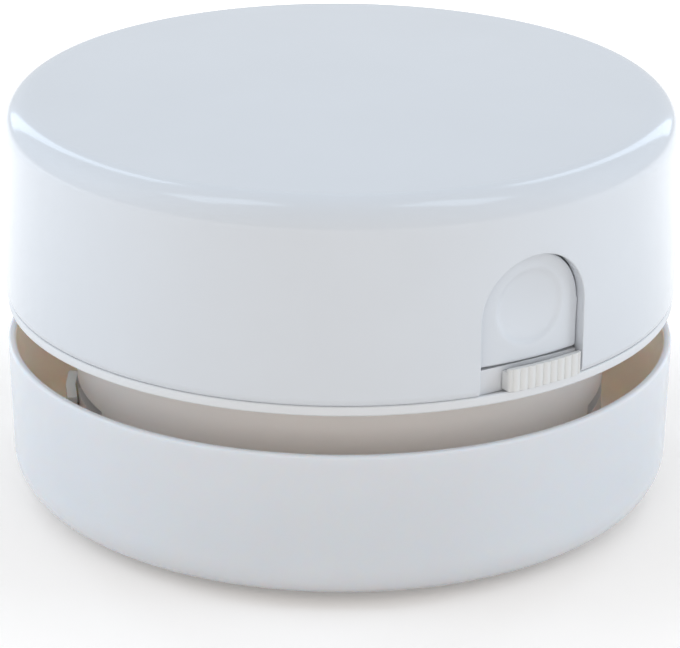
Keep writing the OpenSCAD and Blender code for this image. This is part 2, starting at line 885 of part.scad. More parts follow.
// Front plates with a soldering tab each, and the rear plate that joins both cells
module contact_plates() {
    pad_w = 9.5;
    pad_h = 10;
    color("lightgray")
        intersection() {
            union() {
                for (sx = [-1, 1])
                    translate([sx * cell_x, -contact_y, cell_z])
                        union() {
                            block([-pad_w / 2, -plate_t / 2, -pad_h / 2],
                                [pad_w / 2, plate_t / 2, pad_h / 2]);
                            block([min(0, -sx * (cell_x - contact_tab_x)), -plate_t / 2, -6],
                                [max(0, -sx * (cell_x - contact_tab_x)), plate_t / 2, -3]);
                        }
                translate([0, contact_y, cell_z])
                    union() {
                        for (sx = [-1, 1])
                            block([sx * cell_x - pad_w / 2, -plate_t / 2, -pad_h / 2],
                                [sx * cell_x + pad_w / 2, plate_t / 2, pad_h / 2]);
                        block([-cell_x, -plate_t / 2, -6], [cell_x, plate_t / 2, -3]);
                    }
            }
            cylinder(r = tray_r, h = cap_top_z);
        }
}

// Springs at the flat ends of the cells, right cell at the rear and left cell at the front
module contact_springs() {
    gap = seat_gap / 2;
    color("silver")
        for (side = [-1, 1])
            translate([side * cell_x, side * (bay_half - plate_t - gap), cell_z])
                rotate([side * 90, 0, 0])
                    difference() {
                        cylinder(r = 3.2, h = cell_spring_len + fit_gap - gap);
                        translate([0, 0, -1])
                            cylinder(r = 2.5, h = cell_spring_len + 3);
                    }
}

module wire_red() {
    color("firebrick")
        tube_along(red_route, wire_r, wire_sides, wire_steps);
}

module wire_white() {
    color("whitesmoke")
        tube_along(white_route, wire_r, wire_sides, wire_steps);
}

module wire_black() {
    color("black")
        tube_along(black_route, wire_r, wire_sides, wire_steps);
}

// Bracket behind the opening: switch panel in front, cheeks, a guide wall and a rear wall
module button_guide() {
    guide_mid_y = stem_back_y - 2.4;
    color("whitesmoke")
        difference() {
            union() {
                block([-arch_r + opening_gap, panel_y, lip_top_z + seat_gap],
                    [arch_r - opening_gap, panel_y + panel_t, panel_top_z]);
                block([-guide_half_w, guide_front_y, guide_z],
                    [guide_half_w, panel_y + panel_t, panel_top_z]);
                for (sx = [-1, 1]) {
                    block([sx * (guide_half_w - cheek_t / 2) - cheek_t / 2, guide_front_y, guide_z],
                        [sx * (guide_half_w - cheek_t / 2) + cheek_t / 2, guide_rear_y, guide_top_z]);
                    block([sx * foot_x - foot_l / 2 - eps, foot_y - foot_l / 2, guide_z],
                        [sx * foot_x + foot_l / 2, foot_y + foot_l / 2, guide_z + foot_t]);
                    block([sx * (guide_half_w - cheek_t / 2) - cheek_t / 2, guide_rear_y - 1, guide_z],
                        [sx * (guide_half_w - cheek_t / 2) + cheek_t / 2, foot_y + foot_l / 2,
                            guide_z + foot_t]);
                }
                block([-guide_half_w, guide_back_y, sill_z],
                    [guide_half_w, guide_rear_y, guide_top_z]);
                difference() {
                    block([-guide_half_w, guide_mid_y, sill_z],
                        [guide_half_w, guide_mid_y + guide_wall_t, guide_top_z]);
                    block([-stem_w / 2 - slide_gap, guide_mid_y - 1, stem_z - slide_gap],
                        [stem_w / 2 + slide_gap, guide_mid_y + 3, stem_z + stem_h + slide_gap]);
                }
                translate([0, guide_back_y + eps, stem_c_z])
                    rotate([90, 0, 0])
                        cylinder(r = pin_r, h = 3.3);
            }
            block([slider_c_x - stub_w / 2 - slider_travel - slide_gap, panel_y - 1,
                    slider_c_z - stub_h / 2 - fit_gap],
                [slider_c_x + stub_w / 2 + slide_gap, panel_y + panel_t + 1,
                    slider_c_z + stub_h / 2 + fit_gap]);
            for (sx = [-1, 1])
                translate([sx * foot_x, foot_y, guide_z - 1])
                    cylinder(r = screw_clear_r, h = foot_t + 2);
        }
}

module guide_screws() {
    color("silver")
        for (sx = [-1, 1])
            pan_screw(sx * foot_x, foot_y, guide_z + foot_t + seat_gap / 2, screw_shank);
}

module release_button() {
    dish_r = (pow(dish_d / 2, 2) + pow(dish_depth, 2)) / (2 * dish_depth);
    dish_z = (button_z + arch_c_z + button_r) / 2;
    color("white")
        difference() {
            union() {
                intersection() {
                    upright(-cap_r, button_back_y)
                        arch_outline(button_r, button_z);
                    cylinder(r = button_face_r, h = cap_top_z);
                }
                block([-tongue_w / 2, button_back_y - 0.4, arch_c_z + button_r - 1.5],
                    [tongue_w / 2, button_back_y + 0.4, arch_c_z + arch_r + 1.2]);
                block([-stem_w / 2, button_back_y - 0.3, stem_z],
                    [stem_w / 2, stem_back_y, stem_z + stem_h]);
            }
            translate([0, -(button_face_r - dish_depth + dish_r), dish_z])
                sphere(r = dish_r);
            translate([0, stem_back_y + 1, stem_c_z])
                rotate([90, 0, 0])
                    cylinder(r = pocket_r, h = stem_back_y + 1 - pocket_y);
        }
}

module button_spring() {
    color("silver")
        translate([0, guide_back_y - seat_gap / 2, stem_c_z])
            rotate([90, 0, 0])
                difference() {
                    cylinder(r = spring_r, h = guide_back_y - pocket_y - seat_gap);
                    translate([0, 0, -1])
                        cylinder(r = spring_r - 0.4, h = 20);
                }
}

module switch_case() {
    slot_x0 = slider_c_x - lever_w / 2 - slider_travel - slide_gap;
    slot_x1 = slider_c_x + lever_w / 2 + slide_gap;
    color("silver")
        difference() {
            block([-case_w / 2, case_y, case_z], [case_w / 2, case_back_y, case_z + case_h]);
            block([slot_x0, case_y - 1, lever_z - lever_room],
                [slot_x1, case_y + 1.6, lever_z + lever_room]);
            for (x = [-2.5, 2.5])
                block([x - 0.5, case_back_y - 1, wire_case_z - 0.25],
                    [x + 0.5, case_back_y + 1, wire_case_z + 0.25]);
        }
}

module switch_terminals() {
    color("goldenrod")
        for (x = [-2.5, 2.5])
            block([x - 0.4, case_back_y - 0.8, wire_case_z - 0.15],
                [x + 0.4, case_back_y + 1.5, wire_case_z + 0.15]);
}

module switch_lever() {
    color("dimgray")
        block([slider_c_x - lever_w / 2, panel_y + 0.5, lever_z - 0.5],
            [slider_c_x + lever_w / 2, case_y + 1.4, lever_z + 0.5]);
}

module switch_slider() {
    groove_w = 0.45;
    groove_d = 0.3;
    pitch = (slider_len - 1.6) / groove_count;
    color("ivory")
        difference() {
            union() {
                intersection() {
                    block([slider_x0, -cap_r - 2, slider_z],
                        [slider_x1, slider_back_y, slider_z + slider_h]);
                    cylinder(r = slider_r, h = cap_top_z);
                }
                block([slider_c_x - stub_w / 2, slider_back_y - eps, slider_c_z - stub_h / 2],
                    [slider_c_x + stub_w / 2, panel_y + panel_t, slider_c_z + stub_h / 2]);
            }
            block([slider_c_x - lever_w / 2 - 0.1, panel_y + 0.4, slider_c_z - stub_h],
                [slider_c_x + lever_w / 2 + 0.1, panel_y + panel_t + 1, slider_c_z + stub_h]);
            for (i = [0 : groove_count])
                translate([slider_x0 + 0.8 + i * pitch, 0, 0])
                    block([-groove_w / 2, -cap_r - 2, slider_z - 1],
                        [groove_w / 2, -sqrt(pow(slider_r, 2)
                            - pow(slider_x0 + 0.8 + i * pitch, 2)) + groove_d, slider_z + slider_h + 1]);
        }
}

bowl();
brush_backing();
brush_bristles();
glide_pads();
carrier();
filter_frame();
filter_mesh();
seal_ring();
motor_can();
motor_magnets();
motor_bushes();
motor_end_cap();
motor_terminals();
motor_screws();
motor_shaft();
armature();
impeller();
battery_tray();
tray_screws();
battery_right();
battery_left();
contact_plates();
contact_springs();
wire_red();
wire_white();
wire_black();
button_guide();
guide_screws();
release_button();
button_spring();
switch_case();
switch_terminals();
switch_lever();
switch_slider();
cap();
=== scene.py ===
import math

import bmesh
import bpy
from mathutils import Matrix, Quaternion, Vector


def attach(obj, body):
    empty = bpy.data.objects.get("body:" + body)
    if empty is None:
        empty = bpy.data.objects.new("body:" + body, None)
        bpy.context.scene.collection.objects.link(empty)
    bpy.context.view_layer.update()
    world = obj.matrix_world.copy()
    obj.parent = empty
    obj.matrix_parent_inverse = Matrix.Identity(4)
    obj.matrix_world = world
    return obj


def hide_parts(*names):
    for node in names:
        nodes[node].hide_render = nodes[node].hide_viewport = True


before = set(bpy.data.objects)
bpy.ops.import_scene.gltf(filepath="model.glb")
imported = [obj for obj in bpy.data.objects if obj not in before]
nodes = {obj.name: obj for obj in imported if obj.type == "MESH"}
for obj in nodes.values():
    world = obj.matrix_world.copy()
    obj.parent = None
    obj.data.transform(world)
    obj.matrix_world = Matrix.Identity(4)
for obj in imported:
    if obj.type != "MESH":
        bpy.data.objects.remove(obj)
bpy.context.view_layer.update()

# The camera and the studio are in metres, the pieces of the cleaner in millimetres
MM = 0.001


# --- Camera ------------------------------------------------------------------------------
# A long lens about half a metre away looks down on the cleaner at some twenty degrees,
# with the button and switch to the right of the middle.
CAMERA_AWAY = 0.459
CAMERA_AZIMUTH = math.radians(-33.0)
CAMERA_ELEVATION = math.radians(20.61)
CAMERA_ROLL = math.radians(0.38)
CAMERA_LENS = 192.65
CAMERA_SENSOR = 36.0
CAMERA_NEAR = 0.01
BODY_MIDDLE_Z = 0.026
AIM_Z = 0.0205

sight = Vector((
    math.sin(CAMERA_AZIMUTH) * math.cos(CAMERA_ELEVATION),
    -math.cos(CAMERA_AZIMUTH) * math.cos(CAMERA_ELEVATION),
    math.sin(CAMERA_ELEVATION),
))
camera = bpy.data.objects.new("camera", bpy.data.cameras.new("camera"))
bpy.context.scene.collection.objects.link(camera)
camera.data.sensor_width = CAMERA_SENSOR
camera.data.lens = CAMERA_LENS
camera.data.clip_start = CAMERA_NEAR
camera.location = Vector((0, 0, BODY_MIDDLE_Z)) + sight * CAMERA_AWAY
camera.rotation_mode = "QUATERNION"
look = (Vector((0, 0, AIM_Z)) - camera.location).to_track_quat("-Z", "Y")
camera.rotation_quaternion = look @ Quaternion((0, 0, 1), CAMERA_ROLL)
bpy.context.scene.camera = camera


# --- Studio ------------------------------------------------------------------------------
# A white table that keeps the soft shadow, a white surround that shows in the gloss, broad
# lamps at the sides and in front, and narrower ones that draw the streaks on the shoulder.
TABLE_WHITE = (0.84, 0.79, 0.745)
TABLE_REACH = 6.0
TABLE_FADE = (0.045, 0.17)
TABLE_LIFT = (0.205, 0.87)
SURROUND = 0.58
COOL = (0.79, 0.96, 1.15)
NEUTRAL = (1.0, 1.0, 1.0)
# Azimuth in degrees from the camera's, positive to its right, distance, height, width,
# length, watts, colour, and whether the gloss shows the lamp
LAMPS = {
    "lamp_left": (-100, 0.60, 0.24, 0.42, 0.42, 1.46, COOL, False),
    "lamp_right": (94, 0.60, 0.24, 0.42, 0.42, 1.24, COOL, False),
    "lamp_front": (0, 0.60, 0.16, 0.70, 0.30, 0.80, NEUTRAL, False),
    "strip_left": (-145, 0.55, 0.36, 0.12, 0.60, 0.36, COOL, True),
    "strip_right": (144, 0.55, 0.36, 0.12, 0.60, 0.36, COOL, True),
    "window_left": (-69, 0.33, 0.70, 0.20, 0.34, 0.34, COOL, True),
    "window_right": (68, 0.33, 0.70, 0.20, 0.34, 0.34, COOL, True),
    "lamp_top": (180, 0.12, 0.75, 0.55, 0.55, 0.02, COOL, True),
}

bpy.context.scene.view_settings.view_transform = "Standard"


def link(tree, a, b):
    tree.links.new(a, b)


def node(tree, kind, **sockets):
    """A node with some of its inputs set."""
    made = tree.nodes.new(kind)
    for name, value in sockets.items():
        made.inputs[name.replace("_", " ")].default_value = value
    return made


def maths(tree, operation, *values):
    """A maths node fed with sockets or plain numbers."""
    made = tree.nodes.new("ShaderNodeMath")
    made.operation = operation
    for socket, value in zip(made.inputs, values):
        if isinstance(value, (int, float)):
            socket.default_value = value
        else:
            link(tree, value, socket)
    return made.outputs[0]


def seen_or_mirrored(tree):
    """1 for rays that show the surroundings themselves: seen, mirrored or refracted."""
    rays = node(tree, "ShaderNodeLightPath")
    seen = rays.outputs["Is Camera Ray"]
    for name in ("Is Glossy Ray", "Is Transmission Ray"):
        seen = maths(tree, "MAXIMUM", seen, rays.outputs[name])
    return seen


world = bpy.data.worlds.new("studio")
bpy.context.scene.world = world
world.use_nodes = True
tree = world.node_tree
tree.nodes.clear()
plain = node(tree, "ShaderNodeBackground", Color=(1.0, 1.0, 1.0, 1), Strength=SURROUND)
white = node(tree, "ShaderNodeBackground", Strength=1.0)
choose = node(tree, "ShaderNodeMixShader")
sky = node(tree, "ShaderNodeOutputWorld")
link(tree, seen_or_mirrored(tree), choose.inputs[0])
link(tree, plain.outputs[0], choose.inputs[1])
link(tree, white.outputs[0], choose.inputs[2])
link(tree, choose.outputs[0], sky.inputs["Surface"])

table_mesh = bpy.data.meshes.new("table")
table_mesh.from_pydata(
    [(-TABLE_REACH, -TABLE_REACH, 0), (TABLE_REACH, -TABLE_REACH, 0),
     (TABLE_REACH, TABLE_REACH, 0), (-TABLE_REACH, TABLE_REACH, 0)],
    [], [(0, 1, 2, 3)])
table = bpy.data.objects.new("table", table_mesh)
bpy.context.scene.collection.objects.link(table)
paper = bpy.data.materials.new("table_paper")
paper.use_nodes = True
tree = paper.node_tree
tree.nodes.clear()
matt = node(tree, "ShaderNodeBsdfDiffuse", Color=(*TABLE_WHITE, 1))
glow = node(tree, "ShaderNodeEmission")
spot = node(tree, "ShaderNodeTexCoord")
away = node(tree, "ShaderNodeVectorMath")
away.operation = "LENGTH"
fade = node(tree, "ShaderNodeMapRange", From_Min=TABLE_FADE[0], From_Max=TABLE_FADE[1],
            To_Min=TABLE_LIFT[0], To_Max=TABLE_LIFT[1])
fade.interpolation_type = "SMOOTHSTEP"
link(tree, spot.outputs["Object"], away.inputs[0])
link(tree, away.outputs["Value"], fade.inputs["Value"])
link(tree, fade.outputs["Result"], glow.inputs["Strength"])
black = node(tree, "ShaderNodeEmission", Strength=0.0)
lift = node(tree, "ShaderNodeMixShader")
both = node(tree, "ShaderNodeAddShader")
out = node(tree, "ShaderNodeOutputMaterial")
link(tree, seen_or_mirrored(tree), lift.inputs[0])
link(tree, black.outputs[0], lift.inputs[1])
link(tree, glow.outputs[0], lift.inputs[2])
link(tree, matt.outputs[0], both.inputs[0])
link(tree, lift.outputs[0], both.inputs[1])
link(tree, both.outputs[0], out.inputs["Surface"])
table_mesh.materials.append(paper)

for name, (azimuth, distance, height, width, length, watts, colour, in_gloss) in LAMPS.items():
    lamp = bpy.data.lights.new(name, "AREA")
    lamp.shape = "RECTANGLE"
    lamp.size = width
    lamp.size_y = length
    lamp.energy = watts
    lamp.color = colour
    holder = bpy.data.objects.new(name, lamp)
    bpy.context.scene.collection.objects.link(holder)
    a = CAMERA_AZIMUTH + math.radians(azimuth)
    holder.location = (distance * math.sin(a), -distance * math.cos(a), height)
    aim = Vector((0, 0, BODY_MIDDLE_Z)) - holder.location
    holder.rotation_mode = "QUATERNION"
    holder.rotation_quaternion = aim.to_track_quat("-Z", "Y")
    holder.visible_glossy = in_gloss


# --- Dust bowl ---------------------------------------------------------------------------
# The lower shell, moulded in glossy white ABS: a thin drafted wall, a raised middle over the
# brush with the inlet's chimney, the dust ring that the filter's seal lies on, and three
# short tabs that centre the carrier.
BOWL_RIM_R = 41.86
BOWL_WALL = 1.0
BOWL_ROUND = 5.4
BOWL_DRAFT = math.tan(math.radians(1.6))
BOWL_FOOT_Z = 0.7
BOWL_RIM_Z = 20.2
BOWL_RIM_ROUND = 0.35
BOWL_FLOOR = 1.2
HOLLOW_R = 23.0
HOLLOW_TOP_Z = 3.7
HOLLOW_ROUND = 0.5
CHIMNEY_R = 9.0
CHIMNEY_WALL = 1.0
CHIMNEY_TOP_Z = 8.0
CHIMNEY_BEVEL = 0.3
DUST_RING_R = (31.7, 33.3)
DUST_RING_Z = 9.5
TAB_ANGLES = (30, 150, 270)
TAB_R = (33.6, 34.8)
TAB_W = 9.0
TAB_TOP_Z = 12.8
TAB_ROOT = 0.3
TURN_STEPS = 360
ABS_WHITE = (0.668, 0.690, 0.722)
BOWL_WHITE = (0.700, 0.718, 0.748)
# Colour of the painted warm shade on the bowl's inner faces, and the radii in mm where it is
# painted
BOWL_PAINTED_SHADE = (0.92, 0.84, 0.77)
BOWL_SHADE_RADII = (24.4, 40.95)
ABS_IOR = 1.5
COAT_ROUGHNESS = 0.06
GLOW_RADII = (1.0, 0.68, 0.55)
GLOW_DEPTH = 0.0024
MOULDED_SPREAD = (0.85, 1.2)


def arc(cx, cy, r, start, end, steps):
    """Points of an arc, angles in degrees."""
    angles = [math.radians(start + (end - start) * i / steps) for i in range(steps + 1)]
    return [(cx + r * math.cos(a), cy + r * math.sin(a)) for a in angles]


def rounded(corners, radii, steps=6):
    """An outline through the corners with each one rounded by its radius."""
    points = []
    count = len(corners)
    for i, (corner, radius) in enumerate(zip(corners, radii)):
        here = Vector(corner)
        if radius == 0:
            points.append(tuple(here))
            continue
        back = (Vector(corners[i - 1]) - here).normalized()
        ahead = (Vector(corners[(i + 1) % count]) - here).normalized()
        half = math.acos(max(-1.0, min(1.0, back.dot(ahead)))) / 2
        cut = radius / math.tan(half)
        centre = here + (back + ahead).normalized() * (radius / math.sin(half))
        first = here + back * cut - centre
        last = here + ahead * cut - centre
        sweep = first.angle_signed(last)
        for k in range(steps + 1):
            a = -sweep * k / steps
            turned_point = Vector((
                first.x * math.cos(a) - first.y * math.sin(a),
                first.x * math.sin(a) + first.y * math.cos(a)))
            points.append(tuple(centre + turned_point))
    return points


def grown(name, build, material, ends):
    """A piece made by Geometry Nodes: build(tree, entry) returns its last geometry socket.
    ends holds the values of its named inputs."""
    group = bpy.data.node_groups.new(name, "GeometryNodeTree")
    group.interface.new_socket("Geometry", in_out="INPUT", socket_type="NodeSocketGeometry")
    sockets = {}
    for key, value in ends.items():
        kind = "NodeSocketInt" if isinstance(value, int) else "NodeSocketFloat"
        sockets[key] = group.interface.new_socket(key, in_out="INPUT", socket_type=kind)
    group.interface.new_socket("Geometry", in_out="OUTPUT", socket_type="NodeSocketGeometry")
    entry = group.nodes.new("NodeGroupInput")
    exit_node = group.nodes.new("NodeGroupOutput")
    real = group.nodes.new("GeometryNodeRealizeInstances")
    paint = group.nodes.new("GeometryNodeSetMaterial")
    paint.inputs["Material"].default_value = material
    group.links.new(build(group, entry), real.inputs[0])
    group.links.new(real.outputs[0], paint.inputs["Geometry"])
    group.links.new(paint.outputs[0], exit_node.inputs[0])
    holder = bpy.data.objects.new(name, bpy.data.meshes.new(name + "_seed"))
    bpy.context.scene.collection.objects.link(holder)
    modifier = holder.modifiers.new("grow", "NODES")
    modifier.node_group = group
    for key, value in ends.items():
        modifier[sockets[key].identifier] = value
    bpy.context.view_layer.update()
    seen = holder.evaluated_get(bpy.context.evaluated_depsgraph_get())
    mesh = bpy.data.meshes.new_from_object(seen)
    holder.modifiers.remove(modifier)
    holder.data = mesh
    if not mesh.materials and material:
        mesh.materials.append(material)
    mesh.shade_smooth()
    return holder


def drawn(name, runs, closed=False):
    """A curve object with one straight-sided run through each list of points."""
    line = bpy.data.curves.new(name, "CURVE")
    line.dimensions = "3D"
    for run in runs:
        spline = line.splines.new("POLY")
        spline.points.add(len(run) - 1)
        spline.use_cyclic_u = closed
        for point, place in zip(spline.points, run):
            point.co = (*place, 1)
    path = bpy.data.objects.new(name, line)
    bpy.context.scene.collection.objects.link(path)
    return path


def turn(bm, outline, steps=TURN_STEPS, closed=True):
    """Turns an outline of (radius, height) round Z by Geometry Nodes and adds it to bm.
    The outline is drawn from the ring that carries it, so the ring's own radius cancels."""
    ring_r = 1.0
    profile = drawn("outline", [[(r - ring_r, -z, 0.0) for r, z in outline]], closed)

    def lathe(tree, entry):
        ring = tree.nodes.new("GeometryNodeCurvePrimitiveCircle")
        drawing = tree.nodes.new("GeometryNodeObjectInfo")
        sweep = tree.nodes.new("GeometryNodeCurveToMesh")
        drawing.inputs["Object"].default_value = profile
        tree.links.new(entry.outputs["Steps"], ring.inputs["Resolution"])
        tree.links.new(entry.outputs["Ring"], ring.inputs["Radius"])
        tree.links.new(ring.outputs[0], sweep.inputs["Curve"])
        tree.links.new(drawing.outputs["Geometry"], sweep.inputs["Profile Curve"])
        return sweep.outputs[0]

    turned = grown("turned", lathe, None, {"Steps": steps, "Ring": ring_r})
    bm.from_mesh(turned.data)
    for used in (turned, profile):
        bpy.data.objects.remove(used)


def finished(bm, name, material, sharp=35.0):
    """A piece in metres from a mesh in millimetres, smooth but for its sharp edges."""
    bmesh.ops.remove_doubles(bm, verts=bm.verts, dist=1e-4)
    bmesh.ops.recalc_face_normals(bm, faces=bm.faces)
    bmesh.ops.scale(bm, vec=(MM, MM, MM), verts=bm.verts)
    mesh = bpy.data.meshes.new(name)
    bm.to_mesh(mesh)
    bm.free()
    mesh.materials.append(material)
    mesh.shade_smooth()
    mesh.set_sharp_from_angle(angle=math.radians(sharp))
    piece = bpy.data.objects.new(name, mesh)
    bpy.context.scene.collection.objects.link(piece)
    return piece


def weighted(piece):
    """Lets the large faces carry the shading, so that flats beside small roundings stay flat."""
    normals = piece.modifiers.new("flat_faces_lead", "WEIGHTED_NORMAL")
    normals.keep_sharp = True
    return piece


def mixed(tree, share, first, second):
    """The first colour turning into the second with share; each a socket or a colour."""
    mix = node(tree, "ShaderNodeMix")
    mix.data_type = "RGBA"
    link(tree, share, mix.inputs["Factor"])
    for key, value in (("A", first), ("B", second)):
        if isinstance(value, tuple):
            mix.inputs[key].default_value = (*value, 1)
        else:
            link(tree, value, mix.inputs[key])
    return mix.outputs["Result"]


def shaded(tree, noise, colour, shade):
    """The colour, a little darker and lighter with the noise."""
    return mixed(tree, noise.outputs["Fac"], tuple(c * (1 - shade) for c in colour),
                 tuple(min(1, c * (1 + shade)) for c in colour))


def painted_shade_mask(tree, place, radii):
    """Painted-shade mask: 1 on faces between two radii in mm that do not look down, 0 elsewhere.
    """
    spot = node(tree, "ShaderNodeSeparateXYZ")
    aim = node(tree, "ShaderNodeSeparateXYZ")
    link(tree, place.outputs["Object"], spot.inputs[0])
    link(tree, place.outputs["Normal"], aim.inputs[0])
    x, y = spot.outputs["X"], spot.outputs["Y"]
    r = maths(tree, "SQRT", maths(tree, "ADD", maths(tree, "MULTIPLY", x, x),
                                  maths(tree, "MULTIPLY", y, y)))
    within = maths(tree, "MULTIPLY", maths(tree, "LESS_THAN", r, radii[1] * MM),
                   maths(tree, "GREATER_THAN", r, radii[0] * MM))
    return maths(tree, "MULTIPLY", within, maths(tree, "GREATER_THAN", aim.outputs["Z"], -0.3))


def moulded_plastic(name, colour, roughness, peel=0.25, peel_size=0.9, shade=0.03, coat=0.0,
                    painted_inner_shade=None, glow_through=0.0):
    """Moulded plastic: a trace of flow in the colour, uneven gloss and a fine surface ripple.
    A painted warm shade can go on the inner faces, given as (radii in mm, colour);
    glow_through lets some light pass a thin wall."""
    material = bpy.data.materials.new(name)
    material.use_nodes = True
    tree = material.node_tree
    surface = tree.nodes["Principled BSDF"]
    surface.inputs["IOR"].default_value = ABS_IOR
    if glow_through:
        surface.inputs["Subsurface Weight"].default_value = glow_through
        surface.inputs["Subsurface Radius"].default_value = GLOW_RADII
        surface.inputs["Subsurface Scale"].default_value = GLOW_DEPTH
    if coat:
        surface.inputs["Coat Weight"].default_value = coat
        surface.inputs["Coat Roughness"].default_value = COAT_ROUGHNESS
    place = node(tree, "ShaderNodeTexCoord")
    flow = node(tree, "ShaderNodeTexNoise", Scale=45.0, Detail=3.0, Roughness=0.55)
    link(tree, place.outputs["Object"], flow.inputs["Vector"])
    tint = shaded(tree, flow, colour, shade)
    # Painted warm shade: the inner faces between the radii take the second colour
    if painted_inner_shade:
        radii, inner = painted_inner_shade
        tint = mixed(tree, painted_shade_mask(tree, place, radii), tint, inner)
    link(tree, tint, surface.inputs["Base Color"])
    smear = node(tree, "ShaderNodeTexNoise", Scale=130.0, Detail=4.0, Roughness=0.6)
    gloss = node(tree, "ShaderNodeMapRange", From_Min=0.3, From_Max=0.7,
                 To_Min=roughness * MOULDED_SPREAD[0], To_Max=roughness * MOULDED_SPREAD[1])
    link(tree, place.outputs["Object"], smear.inputs["Vector"])
    link(tree, smear.outputs["Fac"], gloss.inputs["Value"])
    link(tree, gloss.outputs["Result"], surface.inputs["Roughness"])
    ripple = node(tree, "ShaderNodeTexNoise", Scale=peel_size * 1000, Detail=2.0)
    bump = node(tree, "ShaderNodeBump", Strength=peel, Distance=0.00001)
    link(tree, place.outputs["Object"], ripple.inputs["Vector"])
    link(tree, ripple.outputs["Fac"], bump.inputs["Height"])
    link(tree, bump.outputs["Normal"], surface.inputs["Normal"])
    return material


side_h = BOWL_RIM_Z - BOWL_FOOT_Z - BOWL_ROUND
round_x = BOWL_RIM_R - side_h * BOWL_DRAFT - BOWL_ROUND
in_round = BOWL_ROUND - BOWL_WALL
rim_z = BOWL_RIM_Z - BOWL_RIM_ROUND
floor_z = BOWL_FOOT_Z + BOWL_FLOOR
raised_z = HOLLOW_TOP_Z + BOWL_FLOOR
bowl_outline = [
    *rounded([(CHIMNEY_R, HOLLOW_TOP_Z), (HOLLOW_R, HOLLOW_TOP_Z), (HOLLOW_R, BOWL_FOOT_Z),
              (round_x, BOWL_FOOT_Z)], [0, HOLLOW_ROUND, HOLLOW_ROUND, 0])[:-1],
    *arc(round_x, BOWL_FOOT_Z + BOWL_ROUND, BOWL_ROUND, -90, 0, 24),
    *arc(BOWL_RIM_R - BOWL_RIM_ROUND, rim_z, BOWL_RIM_ROUND, 0, 90, 6),
    *arc(BOWL_RIM_R - BOWL_WALL + BOWL_RIM_ROUND, rim_z, BOWL_RIM_ROUND, 90, 180, 6),
    *arc(round_x, floor_z + in_round, in_round, 0, -90, 20),
    (DUST_RING_R[1], floor_z),
    (DUST_RING_R[1], DUST_RING_Z),
    (DUST_RING_R[0], DUST_RING_Z),
    (DUST_RING_R[0], floor_z),
    (HOLLOW_R + BOWL_FLOOR, floor_z),
    (HOLLOW_R + BOWL_FLOOR, raised_z),
    (CHIMNEY_R + CHIMNEY_WALL, raised_z),
    (CHIMNEY_R + CHIMNEY_WALL, CHIMNEY_TOP_Z - CHIMNEY_BEVEL),
    (CHIMNEY_R + CHIMNEY_WALL / 2, CHIMNEY_TOP_Z),
    (CHIMNEY_R, CHIMNEY_TOP_Z - CHIMNEY_BEVEL),
]
bm = bmesh.new()
turn(bm, bowl_outline)
# A tab is a short piece of ring, made of two halves that meet in its middle
for angle in TAB_ANGLES:
    inner, outer = TAB_R
    heights = (floor_z - TAB_ROOT, TAB_TOP_Z)
    points = [(r, side * TAB_W / 2) for r in (inner, outer) for side in (-1, 1)]
    corners = [bm.verts.new((math.sqrt(r * r - w * w), w, z))
               for z in heights for r, w in points]
    middles = [bm.verts.new((r, 0, z)) for z in heights for r in (inner, outer)]
    a_in, b_in, a_out, b_out, c_in, d_in, c_out, d_out = corners
    m_in, m_out, n_in, n_out = middles
    loops = ((a_in, m_in, m_out, a_out), (m_in, b_in, b_out, m_out),
             (c_in, c_out, n_out, n_in), (n_in, n_out, d_out, d_in),
             (a_in, c_in, n_in, m_in), (m_in, n_in, d_in, b_in),
             (a_out, m_out, n_out, c_out), (m_out, b_out, d_out, n_out),
             (a_in, a_out, c_out, c_in), (b_in, d_in, d_out, b_out))
    for loop in loops:
        bm.faces.new(loop)
    bmesh.ops.rotate(bm, verts=corners + middles, cent=(0, 0, 0),
                     matrix=Matrix.Rotation(math.radians(angle), 3, "Z"))
# The bowl's inner faces get the painted warm shade; the subsurface lets light through the wall
bowl_plastic = moulded_plastic("bowl_abs", BOWL_WHITE, 0.20,
                               painted_inner_shade=(BOWL_SHADE_RADII, BOWL_PAINTED_SHADE), glow_through=0.85)
bowl_piece = weighted(finished(bm, "dust_bowl", bowl_plastic))
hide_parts("bowl")
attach(bowl_piece, "bowl")


# --- Brush ring --------------------------------------------------------------------------
# Black backing with a ring of fine grey bristles that sweep crumbs towards the inlet. The
# tufts stand in four rows and every strand leans a little its own way.
BRISTLE_Z = (0.2, 2.6)
BRISTLE_ROWS = ((13.6, 66), (15.4, 76), (17.2, 86), (18.9, 96))
STRANDS = 9
STRAND_R = 0.11
STRAND_TAPER = 0.6
STRAND_SHARE = 0.97
STRAND_LEAN = 0.12
TUFT_R = 0.42
PLAIN_SPREAD = (0.8, 1.2)


def plain_finish(name, colour, roughness, metallic=0.0, grain=0.0, grain_size=300.0, shade=0.05):
    """A plain procedural finish: colour and gloss vary a little, with an optional grain."""
    material = bpy.data.materials.new(name)
    material.use_nodes = True
    tree = material.node_tree
    surface = tree.nodes["Principled BSDF"]
    surface.inputs["Metallic"].default_value = metallic
    place = node(tree, "ShaderNodeTexCoord")
    mottle = node(tree, "ShaderNodeTexNoise", Scale=grain_size, Detail=4.0, Roughness=0.6)
    link(tree, place.outputs["Object"], mottle.inputs["Vector"])
    link(tree, shaded(tree, mottle, colour, shade), surface.inputs["Base Color"])
    rough = node(tree, "ShaderNodeMapRange", To_Min=roughness * PLAIN_SPREAD[0],
                 To_Max=roughness * PLAIN_SPREAD[1])
    link(tree, mottle.outputs["Fac"], rough.inputs["Value"])
    link(tree, rough.outputs["Result"], surface.inputs["Roughness"])
    if grain:
        bump = node(tree, "ShaderNodeBump", Strength=grain, Distance=0.00005)
        link(tree, mottle.outputs["Fac"], bump.inputs["Height"])
        link(tree, bump.outputs["Normal"], surface.inputs["Normal"])
    return material


def dress(name, material):
    """Gives a CAD piece its finish."""
    mesh = nodes[name].data
    mesh.materials.clear()
    mesh.materials.append(material)


